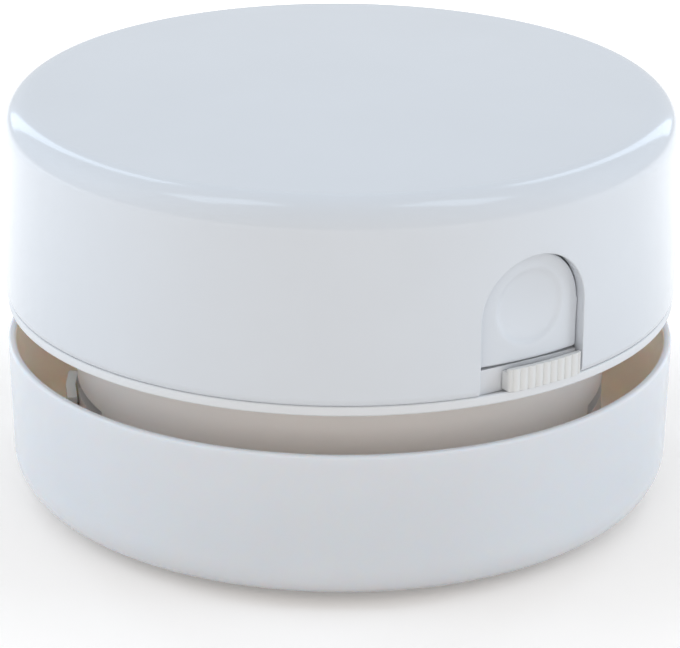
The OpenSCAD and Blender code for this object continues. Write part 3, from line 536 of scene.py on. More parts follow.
def bristle_nodes(tree, entry):
    """Rings of points, a tuft of leaning cones on each."""
    new, wire = tree.nodes.new, tree.links.new
    cone = new("GeometryNodeMeshCone")
    cone.inputs["Vertices"].default_value = 6
    cone.inputs["Radius Top"].default_value = STRAND_R * STRAND_TAPER * MM
    cone.inputs["Radius Bottom"].default_value = STRAND_R * MM
    wire(entry.outputs["Length"], cone.inputs["Depth"])
    rings = new("GeometryNodeJoinGeometry")
    for radius, tufts in BRISTLE_ROWS:
        ring = new("GeometryNodeCurvePrimitiveCircle")
        ring.inputs["Radius"].default_value = radius * MM
        ring.inputs["Resolution"].default_value = tufts
        points = new("GeometryNodeCurveToPoints")
        points.mode = "EVALUATED"
        wire(ring.outputs[0], points.inputs[0])
        wire(points.outputs["Points"], rings.inputs[0])
    copies = new("GeometryNodeDuplicateElements")
    copies.domain = "POINT"
    wire(rings.outputs[0], copies.inputs["Geometry"])
    wire(entry.outputs["Strands"], copies.inputs["Amount"])
    spread = new("FunctionNodeRandomValue")
    spread.data_type = "FLOAT_VECTOR"
    spread.inputs["Min"].default_value = (-TUFT_R * MM, -TUFT_R * MM, 0)
    spread.inputs["Max"].default_value = (TUFT_R * MM, TUFT_R * MM, 0)
    wire(entry.outputs["Seed"], spread.inputs["Seed"])
    shift = new("GeometryNodeSetPosition")
    wire(copies.outputs["Geometry"], shift.inputs["Geometry"])
    wire(spread.outputs["Value"], shift.inputs["Offset"])
    lean = new("FunctionNodeRandomValue")
    lean.data_type = "FLOAT_VECTOR"
    lean.inputs["Min"].default_value = (-STRAND_LEAN + math.pi, -STRAND_LEAN, 0)
    lean.inputs["Max"].default_value = (STRAND_LEAN + math.pi, STRAND_LEAN, 0)
    wire(entry.outputs["Seed"], lean.inputs["Seed"])
    turned = new("FunctionNodeEulerToRotation")
    wire(lean.outputs["Value"], turned.inputs[0])
    stand = new("GeometryNodeInstanceOnPoints")
    wire(shift.outputs[0], stand.inputs["Points"])
    wire(cone.outputs["Mesh"], stand.inputs["Instance"])
    wire(turned.outputs[0], stand.inputs["Rotation"])
    lift_up = new("GeometryNodeTransform")
    lift_up.inputs["Translation"].default_value = (0, 0, BRISTLE_Z[1] * MM)
    wire(stand.outputs[0], lift_up.inputs["Geometry"])
    return lift_up.outputs[0]


bristles = grown("bristles", bristle_nodes,
                 plain_finish("bristle_nylon", (0.30, 0.31, 0.32), 0.45),
                 {"Length": (BRISTLE_Z[1] - BRISTLE_Z[0]) * MM * STRAND_SHARE,
                  "Strands": STRANDS, "Seed": 7})
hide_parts("brush_bristles")
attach(bristles, "bowl")
dress("brush_backing", plain_finish("brush_black", (0.035, 0.035, 0.037), 0.5, grain=0.2))


# --- Glide pads --------------------------------------------------------------------------
# Four low discs of felted white plastic, stuck under the bowl. They keep its bristles just
# clear of the table and let it slide without a scratch.
dress("glide_pads", plain_finish("pad_white", (0.62, 0.62, 0.61), 0.75, grain=0.5,
                                 grain_size=2500.0))


# --- Carrier -----------------------------------------------------------------------------
# The middle moulding that carries the motor and the cells. Its lip and its skirt show in
# the open slit. A bead runs round the lip's edge and follows the cap's rounded foot above
# it, so that only a fine line is left between them.
LIP_R = 41.0
LIP_Z = (25.2, 26.1)
BEAD_R = 41.75
BEAD_ROOT_R = LIP_R - 0.5
BEAD_OVERLAP = 0.02
BEAD_LOW_ROUND = 0.33
BEAD_TOP_ROUND = 0.22
BEAD_GAP = 0.01
BEAD_TIP_ANGLE = -54
CAP_R = 42.0
CAP_FOOT_Z = 26.2
CAP_FOOT_ROUND = 1.2
CARRIER_WHITE = (0.73, 0.735, 0.745)
# Colour of the painted warm shade on the skirt and the faces within it, and the radii in mm it
# covers
CARRIER_PAINTED_SHADE = (0.92, 0.87, 0.83)
CARRIER_SHADE_RADII = (0.0, 34.2)

# The skirt seen in the slit gets the painted warm shade
carrier_plastic = moulded_plastic("carrier_abs", CARRIER_WHITE, 0.36, peel=0.3,
                                  painted_inner_shade=(CARRIER_SHADE_RADII, CARRIER_PAINTED_SHADE))
dress("carrier", carrier_plastic)

bm = bmesh.new()
turn(bm, [(BEAD_ROOT_R, LIP_Z[0] - BEAD_OVERLAP),
          *arc(BEAD_R - BEAD_LOW_ROUND, LIP_Z[0] - BEAD_OVERLAP + BEAD_LOW_ROUND,
               BEAD_LOW_ROUND, -90, 0, 6),
          *arc(BEAD_R - BEAD_TOP_ROUND, CAP_FOOT_Z, BEAD_TOP_ROUND, 0, 90, 8),
          *arc(CAP_R - CAP_FOOT_ROUND, CAP_FOOT_Z + CAP_FOOT_ROUND,
               CAP_FOOT_ROUND + BEAD_GAP, BEAD_TIP_ANGLE, -90, 10),
          (BEAD_ROOT_R, LIP_Z[1] + BEAD_OVERLAP)])
lip_bead = finished(bm, "lip_bead", carrier_plastic)
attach(lip_bead, "carrier")


# --- Filter ------------------------------------------------------------------------------
# A spoked grey frame that clips into the skirt and holds a fine woven mesh, with a soft
# ring that seals it against the bowl.
MESH_R = 28.3
MESH_Z = 11.75
MESH_EDGE = 0.25
MESH_PITCH = 0.9
THREAD = 0.16
THREAD_FLAT = 0.5
WEAVE_LIFT = 0.45

dress("filter_frame", plain_finish("filter_grey", (0.52, 0.53, 0.54), 0.4, grain=0.1))
dress("seal_ring", plain_finish("seal_rubber", (0.06, 0.065, 0.07), 0.6, grain=0.3,
                                grain_size=1500.0))


def weave_nodes(tree, entry):
    """Threads along X and Y, each cut to the round, pressed flat."""
    new, wire = tree.nodes.new, tree.links.new
    both_ways = new("GeometryNodeJoinGeometry")
    for along in (0, 1):
        line = new("GeometryNodeMeshLine")
        line.mode = "OFFSET"
        wire(entry.outputs["Threads"], line.inputs["Count"])
        line.inputs["Start Location"].default_value = (0, (MESH_EDGE - MESH_R) * MM, 0)
        line.inputs["Offset"].default_value = (0, MESH_PITCH * MM, 0)
        at = new("GeometryNodeInputPosition")
        parts = new("ShaderNodeSeparateXYZ")
        wire(at.outputs[0], parts.inputs[0])
        y = parts.outputs["Y"]
        half = maths(tree, "SQRT", maths(tree, "SUBTRACT", (MESH_R * MM) ** 2,
                                         maths(tree, "MULTIPLY", y, y)))
        size = new("ShaderNodeCombineXYZ")
        wire(half, size.inputs["X"])
        size.inputs["Y"].default_value = 1.0
        size.inputs["Z"].default_value = 1.0
        thread = new("GeometryNodeMeshCube")
        thread.inputs["Size"].default_value = (2.0, THREAD * MM, THREAD * THREAD_FLAT * MM)
        lay = new("GeometryNodeInstanceOnPoints")
        wire(line.outputs[0], lay.inputs["Points"])
        wire(thread.outputs["Mesh"], lay.inputs["Instance"])
        wire(size.outputs[0], lay.inputs["Scale"])
        swing = new("GeometryNodeTransform")
        swing.inputs["Rotation"].default_value = (0, 0, along * math.pi / 2)
        swing.inputs["Translation"].default_value = (
            0, 0, (MESH_Z + (along - 0.5) * THREAD * WEAVE_LIFT) * MM)
        wire(lay.outputs[0], swing.inputs["Geometry"])
        wire(swing.outputs[0], both_ways.inputs[0])
    return both_ways.outputs[0]


filter_mesh = grown("woven_mesh", weave_nodes,
                    plain_finish("mesh_grey", (0.60, 0.61, 0.62), 0.35, metallic=0.3),
                    {"Threads": int(2 * (MESH_R - MESH_EDGE) / MESH_PITCH) + 1})
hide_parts("filter_mesh")
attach(filter_mesh, "carrier")


# --- Motor and impeller ------------------------------------------------------------------
# A small brushed motor: nickel-plated can, magnets, bushes, plastic end cap with brass
# terminals, a three-pole armature and the shaft that turns the impeller.
def brushed_metal(name, colour, roughness, around_axis=True):
    """Metal with fine drawn lines, round the Z axis or along it."""
    material = plain_finish(name, colour, roughness, metallic=1.0)
    tree = material.node_tree
    surface = tree.nodes["Principled BSDF"]
    place = node(tree, "ShaderNodeTexCoord")
    squeeze = node(tree, "ShaderNodeMapping",
                   Scale=(1, 1, 40) if around_axis else (40, 40, 1))
    lines = node(tree, "ShaderNodeTexNoise", Scale=400.0, Detail=3.0)
    bump = node(tree, "ShaderNodeBump", Strength=0.15, Distance=0.00002)
    link(tree, place.outputs["Object"], squeeze.inputs["Vector"])
    link(tree, squeeze.outputs["Vector"], lines.inputs["Vector"])
    link(tree, lines.outputs["Fac"], bump.inputs["Height"])
    link(tree, bump.outputs["Normal"], surface.inputs["Normal"])
    return material


dress("motor_can", brushed_metal("motor_steel", (0.62, 0.61, 0.58), 0.22))
dress("motor_magnets", plain_finish("magnet_dark", (0.09, 0.085, 0.08), 0.55, grain=0.2))
dress("motor_bushes", plain_finish("bronze", (0.52, 0.36, 0.18), 0.36, metallic=1.0))
dress("motor_end_cap", moulded_plastic("motor_plastic", (0.78, 0.77, 0.74), 0.4))
dress("motor_terminals", plain_finish("terminal_brass", (0.74, 0.58, 0.28), 0.22, metallic=1.0))
steel = plain_finish("screw_steel", (0.58, 0.58, 0.57), 0.22, metallic=1.0)
for name in ("motor_screws", "tray_screws", "guide_screws"):
    dress(name, steel)
dress("motor_shaft", brushed_metal("shaft_steel", (0.66, 0.66, 0.66), 0.18))
dress("armature", plain_finish("copper", (0.58, 0.27, 0.13), 0.36, metallic=0.9, grain=0.4,
                               grain_size=1200.0))
dress("impeller", moulded_plastic("impeller_white", (0.70, 0.71, 0.72), 0.36))


# --- Battery tray and cells --------------------------------------------------------------
# A grey tray with saddles for two AA cells that lie on either side of the motor, one way
# round each. The cells are bare: a sleeved can, a crimped shoulder and a nub.
CELL_X = 21.0
CELL_Z = 35.95
CELL_R = 7.25
CELL_NUB_Y = -26.95
CELL_END_Y = 23.55
CELL_STEPS = 96
CELL_END_FLAT_R = 5.6
NUB_R = 2.75
NUB_ROUND = 0.3
CRIMP_R = 6.1
CRIMP_Z = 1.3
CRIMP_ROUND = 0.35
SHOULDER_ROUND = 0.6
END_ROUND = 0.7
SLEEVE_WALL = 0.75
SLEEVE_PAST_END = 0.2
BAND_LENGTH = 14
JACKET_GREEN = (0.05, 0.22, 0.14)
JACKET_BAND = (0.50, 0.52, 0.50)
CELL_STEEL = (0.66, 0.65, 0.62)

dress("battery_tray", moulded_plastic("tray_grey", (0.50, 0.51, 0.52), 0.42, peel=0.5))


def cell_finish():
    """Sleeve with a lighter band at the nub's end, bare metal outside it. Y runs along."""
    material = plain_finish("cell_jacket", JACKET_GREEN, 0.36)
    tree = material.node_tree
    surface = tree.nodes["Principled BSDF"]
    jacket = surface.inputs["Base Color"].links[0].from_socket
    place = node(tree, "ShaderNodeTexCoord")
    spot = node(tree, "ShaderNodeSeparateXYZ")
    link(tree, place.outputs["Object"], spot.inputs[0])
    side = maths(tree, "SIGN", spot.outputs["X"])
    along = maths(tree, "MULTIPLY", spot.outputs["Y"], side)
    across = maths(tree, "SUBTRACT", maths(tree, "ABSOLUTE", spot.outputs["X"]), CELL_X * MM)
    up = maths(tree, "SUBTRACT", spot.outputs["Z"], CELL_Z * MM)
    reach_out = maths(tree, "SQRT", maths(tree, "ADD", maths(tree, "MULTIPLY", across, across),
                                          maths(tree, "MULTIPLY", up, up)))
    sleeve = maths(tree, "MULTIPLY", maths(
        tree, "GREATER_THAN", reach_out, (CELL_R - SLEEVE_WALL) * MM),
        maths(tree, "LESS_THAN", along, (CELL_END_Y + SLEEVE_PAST_END) * MM))
    band = maths(tree, "LESS_THAN", along, (CELL_NUB_Y + BAND_LENGTH) * MM)
    banded = mixed(tree, band, jacket, JACKET_BAND)
    link(tree, mixed(tree, sleeve, CELL_STEEL, banded), surface.inputs["Base Color"])
    link(tree, maths(tree, "SUBTRACT", 1.0, sleeve), surface.inputs["Metallic"])
    return material


sleeved = cell_finish()
cell_length = CELL_END_Y - CELL_NUB_Y
for name, side in (("battery_right", 1), ("battery_left", -1)):
    bm = bmesh.new()
    turn(bm, [(0, 0.0), (NUB_R - NUB_ROUND, 0.0), (2.72, 0.27), (NUB_R, CRIMP_Z),
              *arc(CRIMP_R, CRIMP_Z + CRIMP_ROUND, CRIMP_ROUND, -90, -30, 3),
              *arc(CELL_R - SHOULDER_ROUND, CRIMP_Z + 0.85, SHOULDER_ROUND, -80, 0, 6),
              *arc(CELL_R - END_ROUND, cell_length - END_ROUND, END_ROUND, 0, 80, 6),
              (5.9, cell_length - 0.15), (CELL_END_FLAT_R, cell_length), (0, cell_length)],
         steps=CELL_STEPS, closed=False)
    bmesh.ops.rotate(bm, verts=bm.verts, cent=(0, 0, 0),
                     matrix=Matrix.Rotation(math.radians(-90 * side), 3, "X"))
    bmesh.ops.translate(bm, verts=bm.verts,
                        vec=(side * CELL_X, side * CELL_NUB_Y, CELL_Z))
    cell = finished(bm, "cell_" + ("right" if side > 0 else "left"), sleeved)
    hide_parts(name)
    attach(cell, "carrier")


# --- Contacts and leads ------------------------------------------------------------------
# Nickel plates in the tray's ends, coiled springs at the cells' flat ends and three
# insulated leads along their routes.
SPRING_R = 2.85
SPRING_WIRE = 0.35
SPRING_Y = (23.75, 26.9)
SPRING_TURNS = 3.5
LEAD_R = 0.65
CUP_R = 11.6
CONTACT_TAB = (12.15, 27.2)
LEAD_TOP_Z = 48.95
SWITCH_BACK_Y = -34.2
SWITCH_LEAD_Z = 28.5

nickel = plain_finish("contact_nickel", (0.70, 0.68, 0.64), 0.22, metallic=1.0)
dress("contact_plates", nickel)


def swept(name, runs, radius, material, sides=12, smooth=True):
    """Round cord along each run of points in millimetres, by Geometry Nodes."""
    path = drawn(name + "_route", [[[c * MM for c in place] for place in run] for run in runs])

    def cord(tree, entry):
        new, wire = tree.nodes.new, tree.links.new
        route = new("GeometryNodeObjectInfo")
        route.inputs["Object"].default_value = path
        last = route.outputs["Geometry"]
        if smooth:
            bend = new("GeometryNodeCurveSplineType")
            bend.spline_type = "CATMULL_ROM"
            finer = new("GeometryNodeSetSplineResolution")
            wire(entry.outputs["Steps"], finer.inputs["Resolution"])
            wire(last, bend.inputs[0])
            wire(bend.outputs[0], finer.inputs[0])
            last = finer.outputs[0]
        outline = new("GeometryNodeCurvePrimitiveCircle")
        outline.inputs["Resolution"].default_value = sides
        wire(entry.outputs["Radius"], outline.inputs["Radius"])
        sweep = new("GeometryNodeCurveToMesh")
        sweep.inputs["Fill Caps"].default_value = True
        wire(last, sweep.inputs["Curve"])
        wire(outline.outputs[0], sweep.inputs["Profile Curve"])
        return sweep.outputs[0]

    piece = grown(name, cord, material, {"Radius": radius * MM, "Steps": 10})
    bpy.data.objects.remove(path)
    piece.data.set_sharp_from_angle(angle=math.radians(50))
    return piece


def coil(x, z, y0, y1, radius, turns, per_turn=28):
    """Points of a coil along Y."""
    count = int(turns * per_turn)
    return [(x + radius * math.cos(2 * math.pi * i / per_turn),
             y0 + (y1 - y0) * i / count,
             z + radius * math.sin(2 * math.pi * i / per_turn)) for i in range(count + 1)]


springs = swept("contact_coils", [
    coil(side * CELL_X, CELL_Z, side * SPRING_Y[0] + side * SPRING_WIRE,
         side * SPRING_Y[1] - side * SPRING_WIRE, SPRING_R, SPRING_TURNS)
    for side in (1, -1)], SPRING_WIRE, nickel, smooth=False)
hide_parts("contact_springs")
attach(springs, "carrier")

# The colour of each lead and the points that it passes
LEADS = {
    "wire_red": ((0.60, 0.035, 0.03), [
        (CONTACT_TAB[0] - 0.1, -CONTACT_TAB[1], CELL_Z - 4.5),
        (CONTACT_TAB[0] - 2.5, -CONTACT_TAB[1] - 0.4, CELL_Z - 5),
        (6.5, -CONTACT_TAB[1] - 1.2, CELL_Z - 6.4),
        (3.6, SWITCH_BACK_Y + 4.2, SWITCH_LEAD_Z + 0.5),
        (2.5, SWITCH_BACK_Y + 2.9, SWITCH_LEAD_Z),
        (2.5, SWITCH_BACK_Y + 1.7, SWITCH_LEAD_Z)]),
    "wire_white": ((0.75, 0.75, 0.73), [
        (-2.5, SWITCH_BACK_Y + 1.7, SWITCH_LEAD_Z),
        (-2.5, SWITCH_BACK_Y + 2.9, SWITCH_LEAD_Z),
        (-2.8, SWITCH_BACK_Y + 4.4, SWITCH_LEAD_Z + 0.5),
        (-4, -24, CELL_Z - 5.5), (-4.5, -17, CELL_Z - 1), (-3.2, -12.6, CELL_Z + 7),
        (-1.6, -11.2, LEAD_TOP_Z - 1.2), (-0.2, -8.8, LEAD_TOP_Z),
        (0, -6.6, LEAD_TOP_Z), (0, -5.3, LEAD_TOP_Z)]),
    "wire_black": ((0.02, 0.02, 0.02), [
        (-CONTACT_TAB[0] + 0.1, -CONTACT_TAB[1], CELL_Z - 4.5),
        (-CONTACT_TAB[0] + 1.2, -CONTACT_TAB[1], CELL_Z - 4.5),
        (-CONTACT_TAB[0] + 1.4, -CONTACT_TAB[1] + 3, CELL_Z - 4.6),
        (-CUP_R - 0.3, -16, CELL_Z - 2.5), (-CUP_R - 0.2, -6, CELL_Z + 4),
        (-CUP_R + 0.2, 1, LEAD_TOP_Z - 4), (-9, 6, LEAD_TOP_Z - 1),
        (-4.5, 8.6, LEAD_TOP_Z), (-1.2, 8.2, LEAD_TOP_Z),
        (0, 6.6, LEAD_TOP_Z), (0, 5.3, LEAD_TOP_Z)]),
}
for name, (colour, route) in LEADS.items():
    lead = swept(name.replace("wire", "lead"), [route], LEAD_R,
                 plain_finish(name + "_pvc", colour, 0.35))
    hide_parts(name)
    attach(lead, "carrier")


# --- Guide bracket and switch ------------------------------------------------------------
# The white bracket behind the opening, whose panel shows beside the slider, with the
# button's return spring and the slide switch.
BUTTON_SPRING_Z = 35.25
BUTTON_SPRING_PITCH = 1.1
BUTTON_SPRING_FILL = 0.5

dress("button_guide", moulded_plastic("guide_abs", (0.70, 0.705, 0.72), 0.36))
dress("switch_case", brushed_metal("switch_metal", (0.60, 0.60, 0.58), 0.36, False))
dress("switch_terminals", plain_finish("terminal_tin", (0.74, 0.58, 0.28), 0.22, metallic=1.0))
dress("switch_lever", plain_finish("lever_black", (0.03, 0.03, 0.03), 0.4))


def coiled_look(name, colour, pitch, fill):
    """Metal that shows only along a helix round the Y axis, so that a tube looks coiled."""
    material = plain_finish(name, colour, 0.22, metallic=1.0)
    tree = material.node_tree
    surface = tree.nodes["Principled BSDF"]
    place = node(tree, "ShaderNodeTexCoord")
    spot = node(tree, "ShaderNodeSeparateXYZ")
    link(tree, place.outputs["Object"], spot.inputs[0])
    angle = maths(tree, "ARCTAN2", maths(
        tree, "SUBTRACT", spot.outputs["Z"], BUTTON_SPRING_Z * MM), spot.outputs["X"])
    phase = maths(tree, "FRACT", maths(tree, "ADD", maths(
        tree, "DIVIDE", spot.outputs["Y"], pitch * MM), maths(
        tree, "DIVIDE", angle, 2 * math.pi)))
    link(tree, maths(tree, "LESS_THAN", phase, fill), surface.inputs["Alpha"])
    return material


dress("button_spring", coiled_look("spring_steel", (0.66, 0.66, 0.65),
                                   BUTTON_SPRING_PITCH, BUTTON_SPRING_FILL))


# --- Switch slider -----------------------------------------------------------------------
# The ribbed thumb piece of the slide switch, moulded in a slightly warmer white. Its stub
# reaches through the panel's slot and takes the switch's lever.
SLIDER_X = (-3.6, 7.15)
SLIDER_Z = (26.45, 29.25)
SLIDER_FACE_R = 42.1
SLIDER_BACK_Y = -40.4
SLIDER_STEP_R = 41.45
SLIDER_STEP_Z = 28.75
SLIDER_EDGE = 0.22
STEP_EDGE = 0.06
STEP_COUNT = 24
# Radius of each front corner, and how far its centre lies behind the face
SLIDER_CORNERS = ((0.45, 0.5), (0.35, 0.4))
RIB_COUNT = 9
RIB_DEPTH = 0.22
RIB_SAMPLES = 12
RIB_MARGIN = 0.5
RIB_FULLNESS = 0.6
STUB_X = ((0.275, 0.775), (2.775, 3.275))
STUB_Y = (-40.5, -38.6)
STUB_Z = (27.2, 28.5)


def add_block(bm, low, high):
    """A plain box between two corners."""
    made = bmesh.ops.create_cube(bm, size=1.0)
    low, high = Vector(low), Vector(high)
    for v in made["verts"]:
        v.co = Vector(((v.co.x + 0.5) * (high.x - low.x) + low.x,
                       (v.co.y + 0.5) * (high.y - low.y) + low.y,
                       (v.co.z + 0.5) * (high.z - low.z) + low.z))


bm = bmesh.new()
ribbed = []
rib_span = SLIDER_X[1] - SLIDER_X[0] - 2 * RIB_MARGIN
samples = RIB_COUNT * RIB_SAMPLES
for i in range(samples + 1):
    x = SLIDER_X[0] + RIB_MARGIN + rib_span * i / samples
    wave = abs(math.sin(math.pi * RIB_COUNT * i / samples)) ** RIB_FULLNESS
    ribbed.append((x, -math.sqrt(SLIDER_FACE_R ** 2 - x * x) + RIB_DEPTH * (1 - wave)))
left_y = -math.sqrt(SLIDER_FACE_R ** 2 - SLIDER_X[0] ** 2)
right_y = -math.sqrt(SLIDER_FACE_R ** 2 - SLIDER_X[1] ** 2)
step = [(x, -math.sqrt(SLIDER_STEP_R ** 2 - x * x))
        for x in (SLIDER_X[1] - (SLIDER_X[1] - SLIDER_X[0]) * i / STEP_COUNT
                  for i in range(STEP_COUNT + 1))]
(left_r, left_in), (right_r, right_in) = SLIDER_CORNERS
front_bar = (arc(SLIDER_X[0] + left_r, left_y + left_in, left_r, 180, 260, 5) + ribbed
             + arc(SLIDER_X[1] - right_r, right_y + right_in, right_r, -80, 0, 5) + step)
body = [(SLIDER_X[0], SLIDER_BACK_Y), *step[::-1], (SLIDER_X[1], SLIDER_BACK_Y)]
for outline, top_z, edge in ((front_bar, SLIDER_Z[1], SLIDER_EDGE),
                             (body, SLIDER_STEP_Z, STEP_EDGE)):
    low = [bm.verts.new((x, y, SLIDER_Z[0])) for x, y in outline]
    high = [bm.verts.new((x, y, top_z)) for x, y in outline]
    ends = [bm.faces.new(low), bm.faces.new(high[::-1])]
    for i in range(len(outline)):
        j = (i + 1) % len(outline)
        bm.faces.new((low[j], low[i], high[i], high[j]))
    bmesh.ops.bevel(bm, geom=[e for face in ends for e in face.edges], offset=edge,
                    segments=3, profile=0.5, affect="EDGES", clamp_overlap=True)
for start, end in STUB_X:
    add_block(bm, (start, STUB_Y[0], STUB_Z[0]), (end, STUB_Y[1], STUB_Z[1]))
slider_piece = finished(bm, "thumb_slider", moulded_plastic(
    "slider_plastic", (0.72, 0.715, 0.70), 0.36, peel=0.3))
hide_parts("switch_slider")
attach(slider_piece, "slider")


# --- Release button ----------------------------------------------------------------------
# An arched key of white ABS with a shallow finger dish. It slides inwards on a square stem
# and a small spring pushes it back.
ARCH_C_Z = 35.55
BUTTON_R = 7.2
BUTTON_FOOT_Z = 29.55
BUTTON_FOOT_ROUND = 0.4
BUTTON_FACE_R = 40.7
BUTTON_BACK_Y = -39.4
BUTTON_EDGE = 0.28
BUTTON_CELL = 0.3
# What stands further forward than these is bent to the face, and hollowed by the dish
BENT_BEFORE_Y = BUTTON_BACK_Y - 0.3
DISHED_BEFORE_Y = -BUTTON_FACE_R + 0.75
BUTTON_LUG = ((-4, -39.9, 41.2), (4, -39.0, 44.1))
BUTTON_STEM = ((-4, -39.7, 31.75), (4, -34.0, 38.75))
DISH_R = 4.8
DISH_DEPTH = 0.7
DISH_RIM = 0.15
DISH_SHARES = (0.45, 0.55)
DISH_Z = (BUTTON_FOOT_Z + ARCH_C_Z + BUTTON_R) / 2


def cut_into_cells(bm, xs, zs):
    """Cuts a mesh by upright and level planes, so that it can follow a curve."""
    cuts = [((x, 0, 0), (1, 0, 0)) for x in xs] + [((0, 0, z), (0, 0, 1)) for z in zs]
    for place, facing in cuts:
        bmesh.ops.bisect_plane(bm, geom=[*bm.verts, *bm.edges, *bm.faces], dist=1e-5,
                               plane_co=place, plane_no=facing)


def steps_between(low, high, pitch):
    """Places a pitch apart between two ends, half a pitch in from the first."""
    count = int((high - low) / pitch)
    return [low + pitch * (i + 0.5) for i in range(count)]


def dish(x, z):
    """Depth of the finger dish, with a soft rim."""
    away = math.hypot(x, z - DISH_Z) / DISH_R
    if away > 1:
        return 0.0
    t = min(1.0, (1 - away) / DISH_RIM)
    hollow = max(0.0, 1 - (away / (1 - DISH_RIM)) ** 2)
    return DISH_DEPTH * (DISH_SHARES[0] * t * t * (3 - 2 * t) + DISH_SHARES[1] * hollow)


bm = bmesh.new()
key = rounded(
    [(-BUTTON_R, BUTTON_FOOT_Z), (BUTTON_R, BUTTON_FOOT_Z),
     (BUTTON_R, ARCH_C_Z), (-BUTTON_R, ARCH_C_Z)],
    [BUTTON_FOOT_ROUND, BUTTON_FOOT_ROUND, 0, 0])[:-2]
key += arc(0, ARCH_C_Z, BUTTON_R, 0, 180, 48)
face = bm.faces.new([bm.verts.new((x, -BUTTON_FACE_R, z)) for x, z in key])
pulled = bmesh.ops.extrude_face_region(bm, geom=[face])
for v in pulled["geom"]:
    if isinstance(v, bmesh.types.BMVert):
        v.co.y = BUTTON_BACK_Y
front_edges = [e for e in bm.edges if all(v.co.y < -BUTTON_FACE_R + 1e-4 for v in e.verts)]
bmesh.ops.bevel(bm, geom=front_edges, offset=BUTTON_EDGE, segments=5, profile=0.5,
                affect="EDGES", clamp_overlap=False)
cut_into_cells(bm, steps_between(-BUTTON_R, BUTTON_R, BUTTON_CELL),
               steps_between(BUTTON_FOOT_Z, ARCH_C_Z + BUTTON_R, BUTTON_CELL))
for v in bm.verts:
    if v.co.y < BENT_BEFORE_Y:
        v.co.y += BUTTON_FACE_R - math.sqrt(BUTTON_FACE_R ** 2 - v.co.x ** 2)
        if v.co.y < DISHED_BEFORE_Y:
            v.co.y += dish(v.co.x, v.co.z)
add_block(bm, *BUTTON_LUG)
add_block(bm, *BUTTON_STEM)
button_piece = weighted(finished(bm, "release_key", moulded_plastic(
    "button_abs", ABS_WHITE, 0.22, peel=0.2)))
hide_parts("release_button")
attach(button_piece, "button")


# --- Cap ---------------------------------------------------------------------------------
# The upper shell, glossy white ABS: straight sides, a rounded shoulder, a slightly domed top
# and an arched opening at the front that leaves the button and the switch free. Four ribs
# under the top keep the cells down.
CAP_WALL = 1.6
CAP_TOP_Z = 52.25
CAP_ROUND = 3.8
CAP_CROWN = 0.85
SHOULDER_STEPS = 20
DOME_STEPS = 18
ARCH_R = 7.35
ARCH_EDGE = 0.15
ARCH_REACH = 14.0
ARCH_FADE = (4.0, 3.0)
SIDE_TOP_Z = 46.4
SIDE_CUTS = (30.0, 33.0, 36.0, 39.0, 41.0, 44.0)
CAP_RIB_AT = (21, 12)
CAP_RIB_HALF = (6, 0.6)
CAP_RIB_Z = (43.6, 50.6)


def crown(inset):
    """Half outline of the shoulder and the domed top, from the side up to the axis."""
    side_r = CAP_R - inset
    round_r = CAP_ROUND - inset
    top_z = CAP_TOP_Z - inset
    shoulder_r = side_r - round_r
    dome_r = (shoulder_r ** 2 + CAP_CROWN ** 2) / (2 * CAP_CROWN)
    dome_z = top_z - dome_r
    edge = math.asin(shoulder_r / dome_r)
    shoulder = arc(shoulder_r, top_z - CAP_CROWN - round_r * math.cos(edge), round_r,
                   0, 90 - math.degrees(edge), SHOULDER_STEPS)
    dome_edge = math.asin((shoulder_r + round_r * math.sin(edge)) / dome_r)
    dome = []
    for i in range(1, DOME_STEPS + 1):
        a = dome_edge * (1 - i / DOME_STEPS)
        dome.append((dome_r * math.sin(a), dome_z + dome_r * math.cos(a)))
    drop = shoulder[-1][1] - (dome_z + dome_r * math.cos(dome_edge))
    return [(side_r, SIDE_TOP_Z)] + [(r, z - drop) for r, z in shoulder] + dome


def bent(point):
    """A point of the flat side wall, (along, depth, height), on the round wall. The arch's
    sides stay parallel through the wall."""
    along, depth, z = point
    angle = along / CAP_R
    r = CAP_R - depth
    x = CAP_R * math.sin(angle)
    share = max(0.0, min(1.0, (ARCH_REACH - abs(along)) / ARCH_FADE[0]))
    share *= max(0.0, min(1.0, (SIDE_TOP_Z - z) / ARCH_FADE[1]))
    if share > 0:
        angle = angle * (1 - share) + math.asin(max(-1.0, min(1.0, x / r))) * share
    return (r * math.sin(angle), -r * math.cos(angle), z)


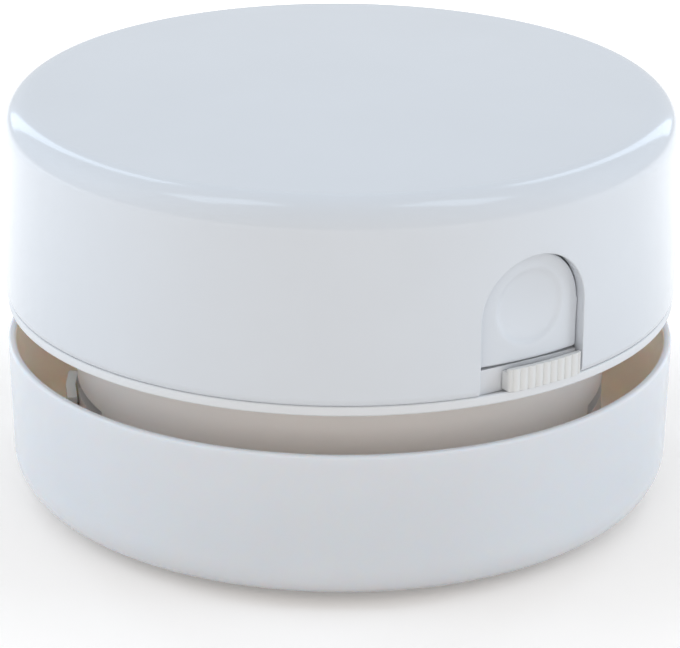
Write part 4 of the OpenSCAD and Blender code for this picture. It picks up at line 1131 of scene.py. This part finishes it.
bm = bmesh.new()
half_turn = math.pi * CAP_R
arch = [(-ARCH_R, CAP_FOOT_Z), *arc(0, ARCH_C_Z, ARCH_R, 180, 0, 48), (ARCH_R, CAP_FOOT_Z)]
side = [*arch, (half_turn, CAP_FOOT_Z), (half_turn, SIDE_TOP_Z),
        (-half_turn, SIDE_TOP_Z), (-half_turn, CAP_FOOT_Z)]
front = [bm.verts.new((x, 0, z)) for x, z in side]
back = [bm.verts.new((x, CAP_WALL, z)) for x, z in side]
bm.faces.new(front)
bm.faces.new(back[::-1])
for i in range(len(side)):
    j = (i + 1) % len(side)
    top_edge = side[i][1] == SIDE_TOP_Z and side[j][1] == SIDE_TOP_Z
    end_edge = abs(side[i][0]) == half_turn and side[i][0] == side[j][0]
    if not (top_edge or end_edge):
        bm.faces.new((front[j], front[i], back[i], back[j]))
foot_edges = [e for e in bm.edges
              if all(abs(v.co.z - CAP_FOOT_Z) < 1e-6 and v.co.y == 0 for v in e.verts)
              and abs(e.verts[0].co.x - e.verts[1].co.x) > 20]
bmesh.ops.bevel(bm, geom=foot_edges, offset=CAP_FOOT_ROUND, segments=8, profile=0.5,
                affect="EDGES", clamp_overlap=False)
rim_edges = [e for e in bm.edges if len(e.link_faces) == 2
             and all(v.co.y < CAP_WALL - 0.01 and abs(v.co.x) < ARCH_R + 1e-4 for v in e.verts)
             and any(f.normal.y < -0.999 for f in e.link_faces)
             and e.calc_face_angle() > 1.2]
bmesh.ops.bevel(bm, geom=rim_edges, offset=ARCH_EDGE, segments=4, profile=0.5,
                affect="EDGES", clamp_overlap=False)
cut_into_cells(bm, [k * 2 * half_turn / TURN_STEPS
                    for k in range(-TURN_STEPS // 2 + 1, TURN_STEPS // 2)], SIDE_CUTS)
for v in bm.verts:
    v.co = bent(v.co)
turn(bm, crown(0), closed=False)
turn(bm, crown(CAP_WALL), closed=False)
bmesh.ops.remove_doubles(bm, verts=bm.verts, dist=2e-3)
for sx in (-1, 1):
    for sy in (-1, 1):
        x, y = sx * CAP_RIB_AT[0], sy * CAP_RIB_AT[1]
        add_block(bm, (x - CAP_RIB_HALF[0], y - CAP_RIB_HALF[1], CAP_RIB_Z[0]),
                  (x + CAP_RIB_HALF[0], y + CAP_RIB_HALF[1], CAP_RIB_Z[1]))
cap_plastic = moulded_plastic("cap_abs", ABS_WHITE, 0.13, peel=0.12, coat=0.2)
cap_piece = weighted(finished(bm, "cap_shell", cap_plastic))
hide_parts("cap")
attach(cap_piece, "cap")
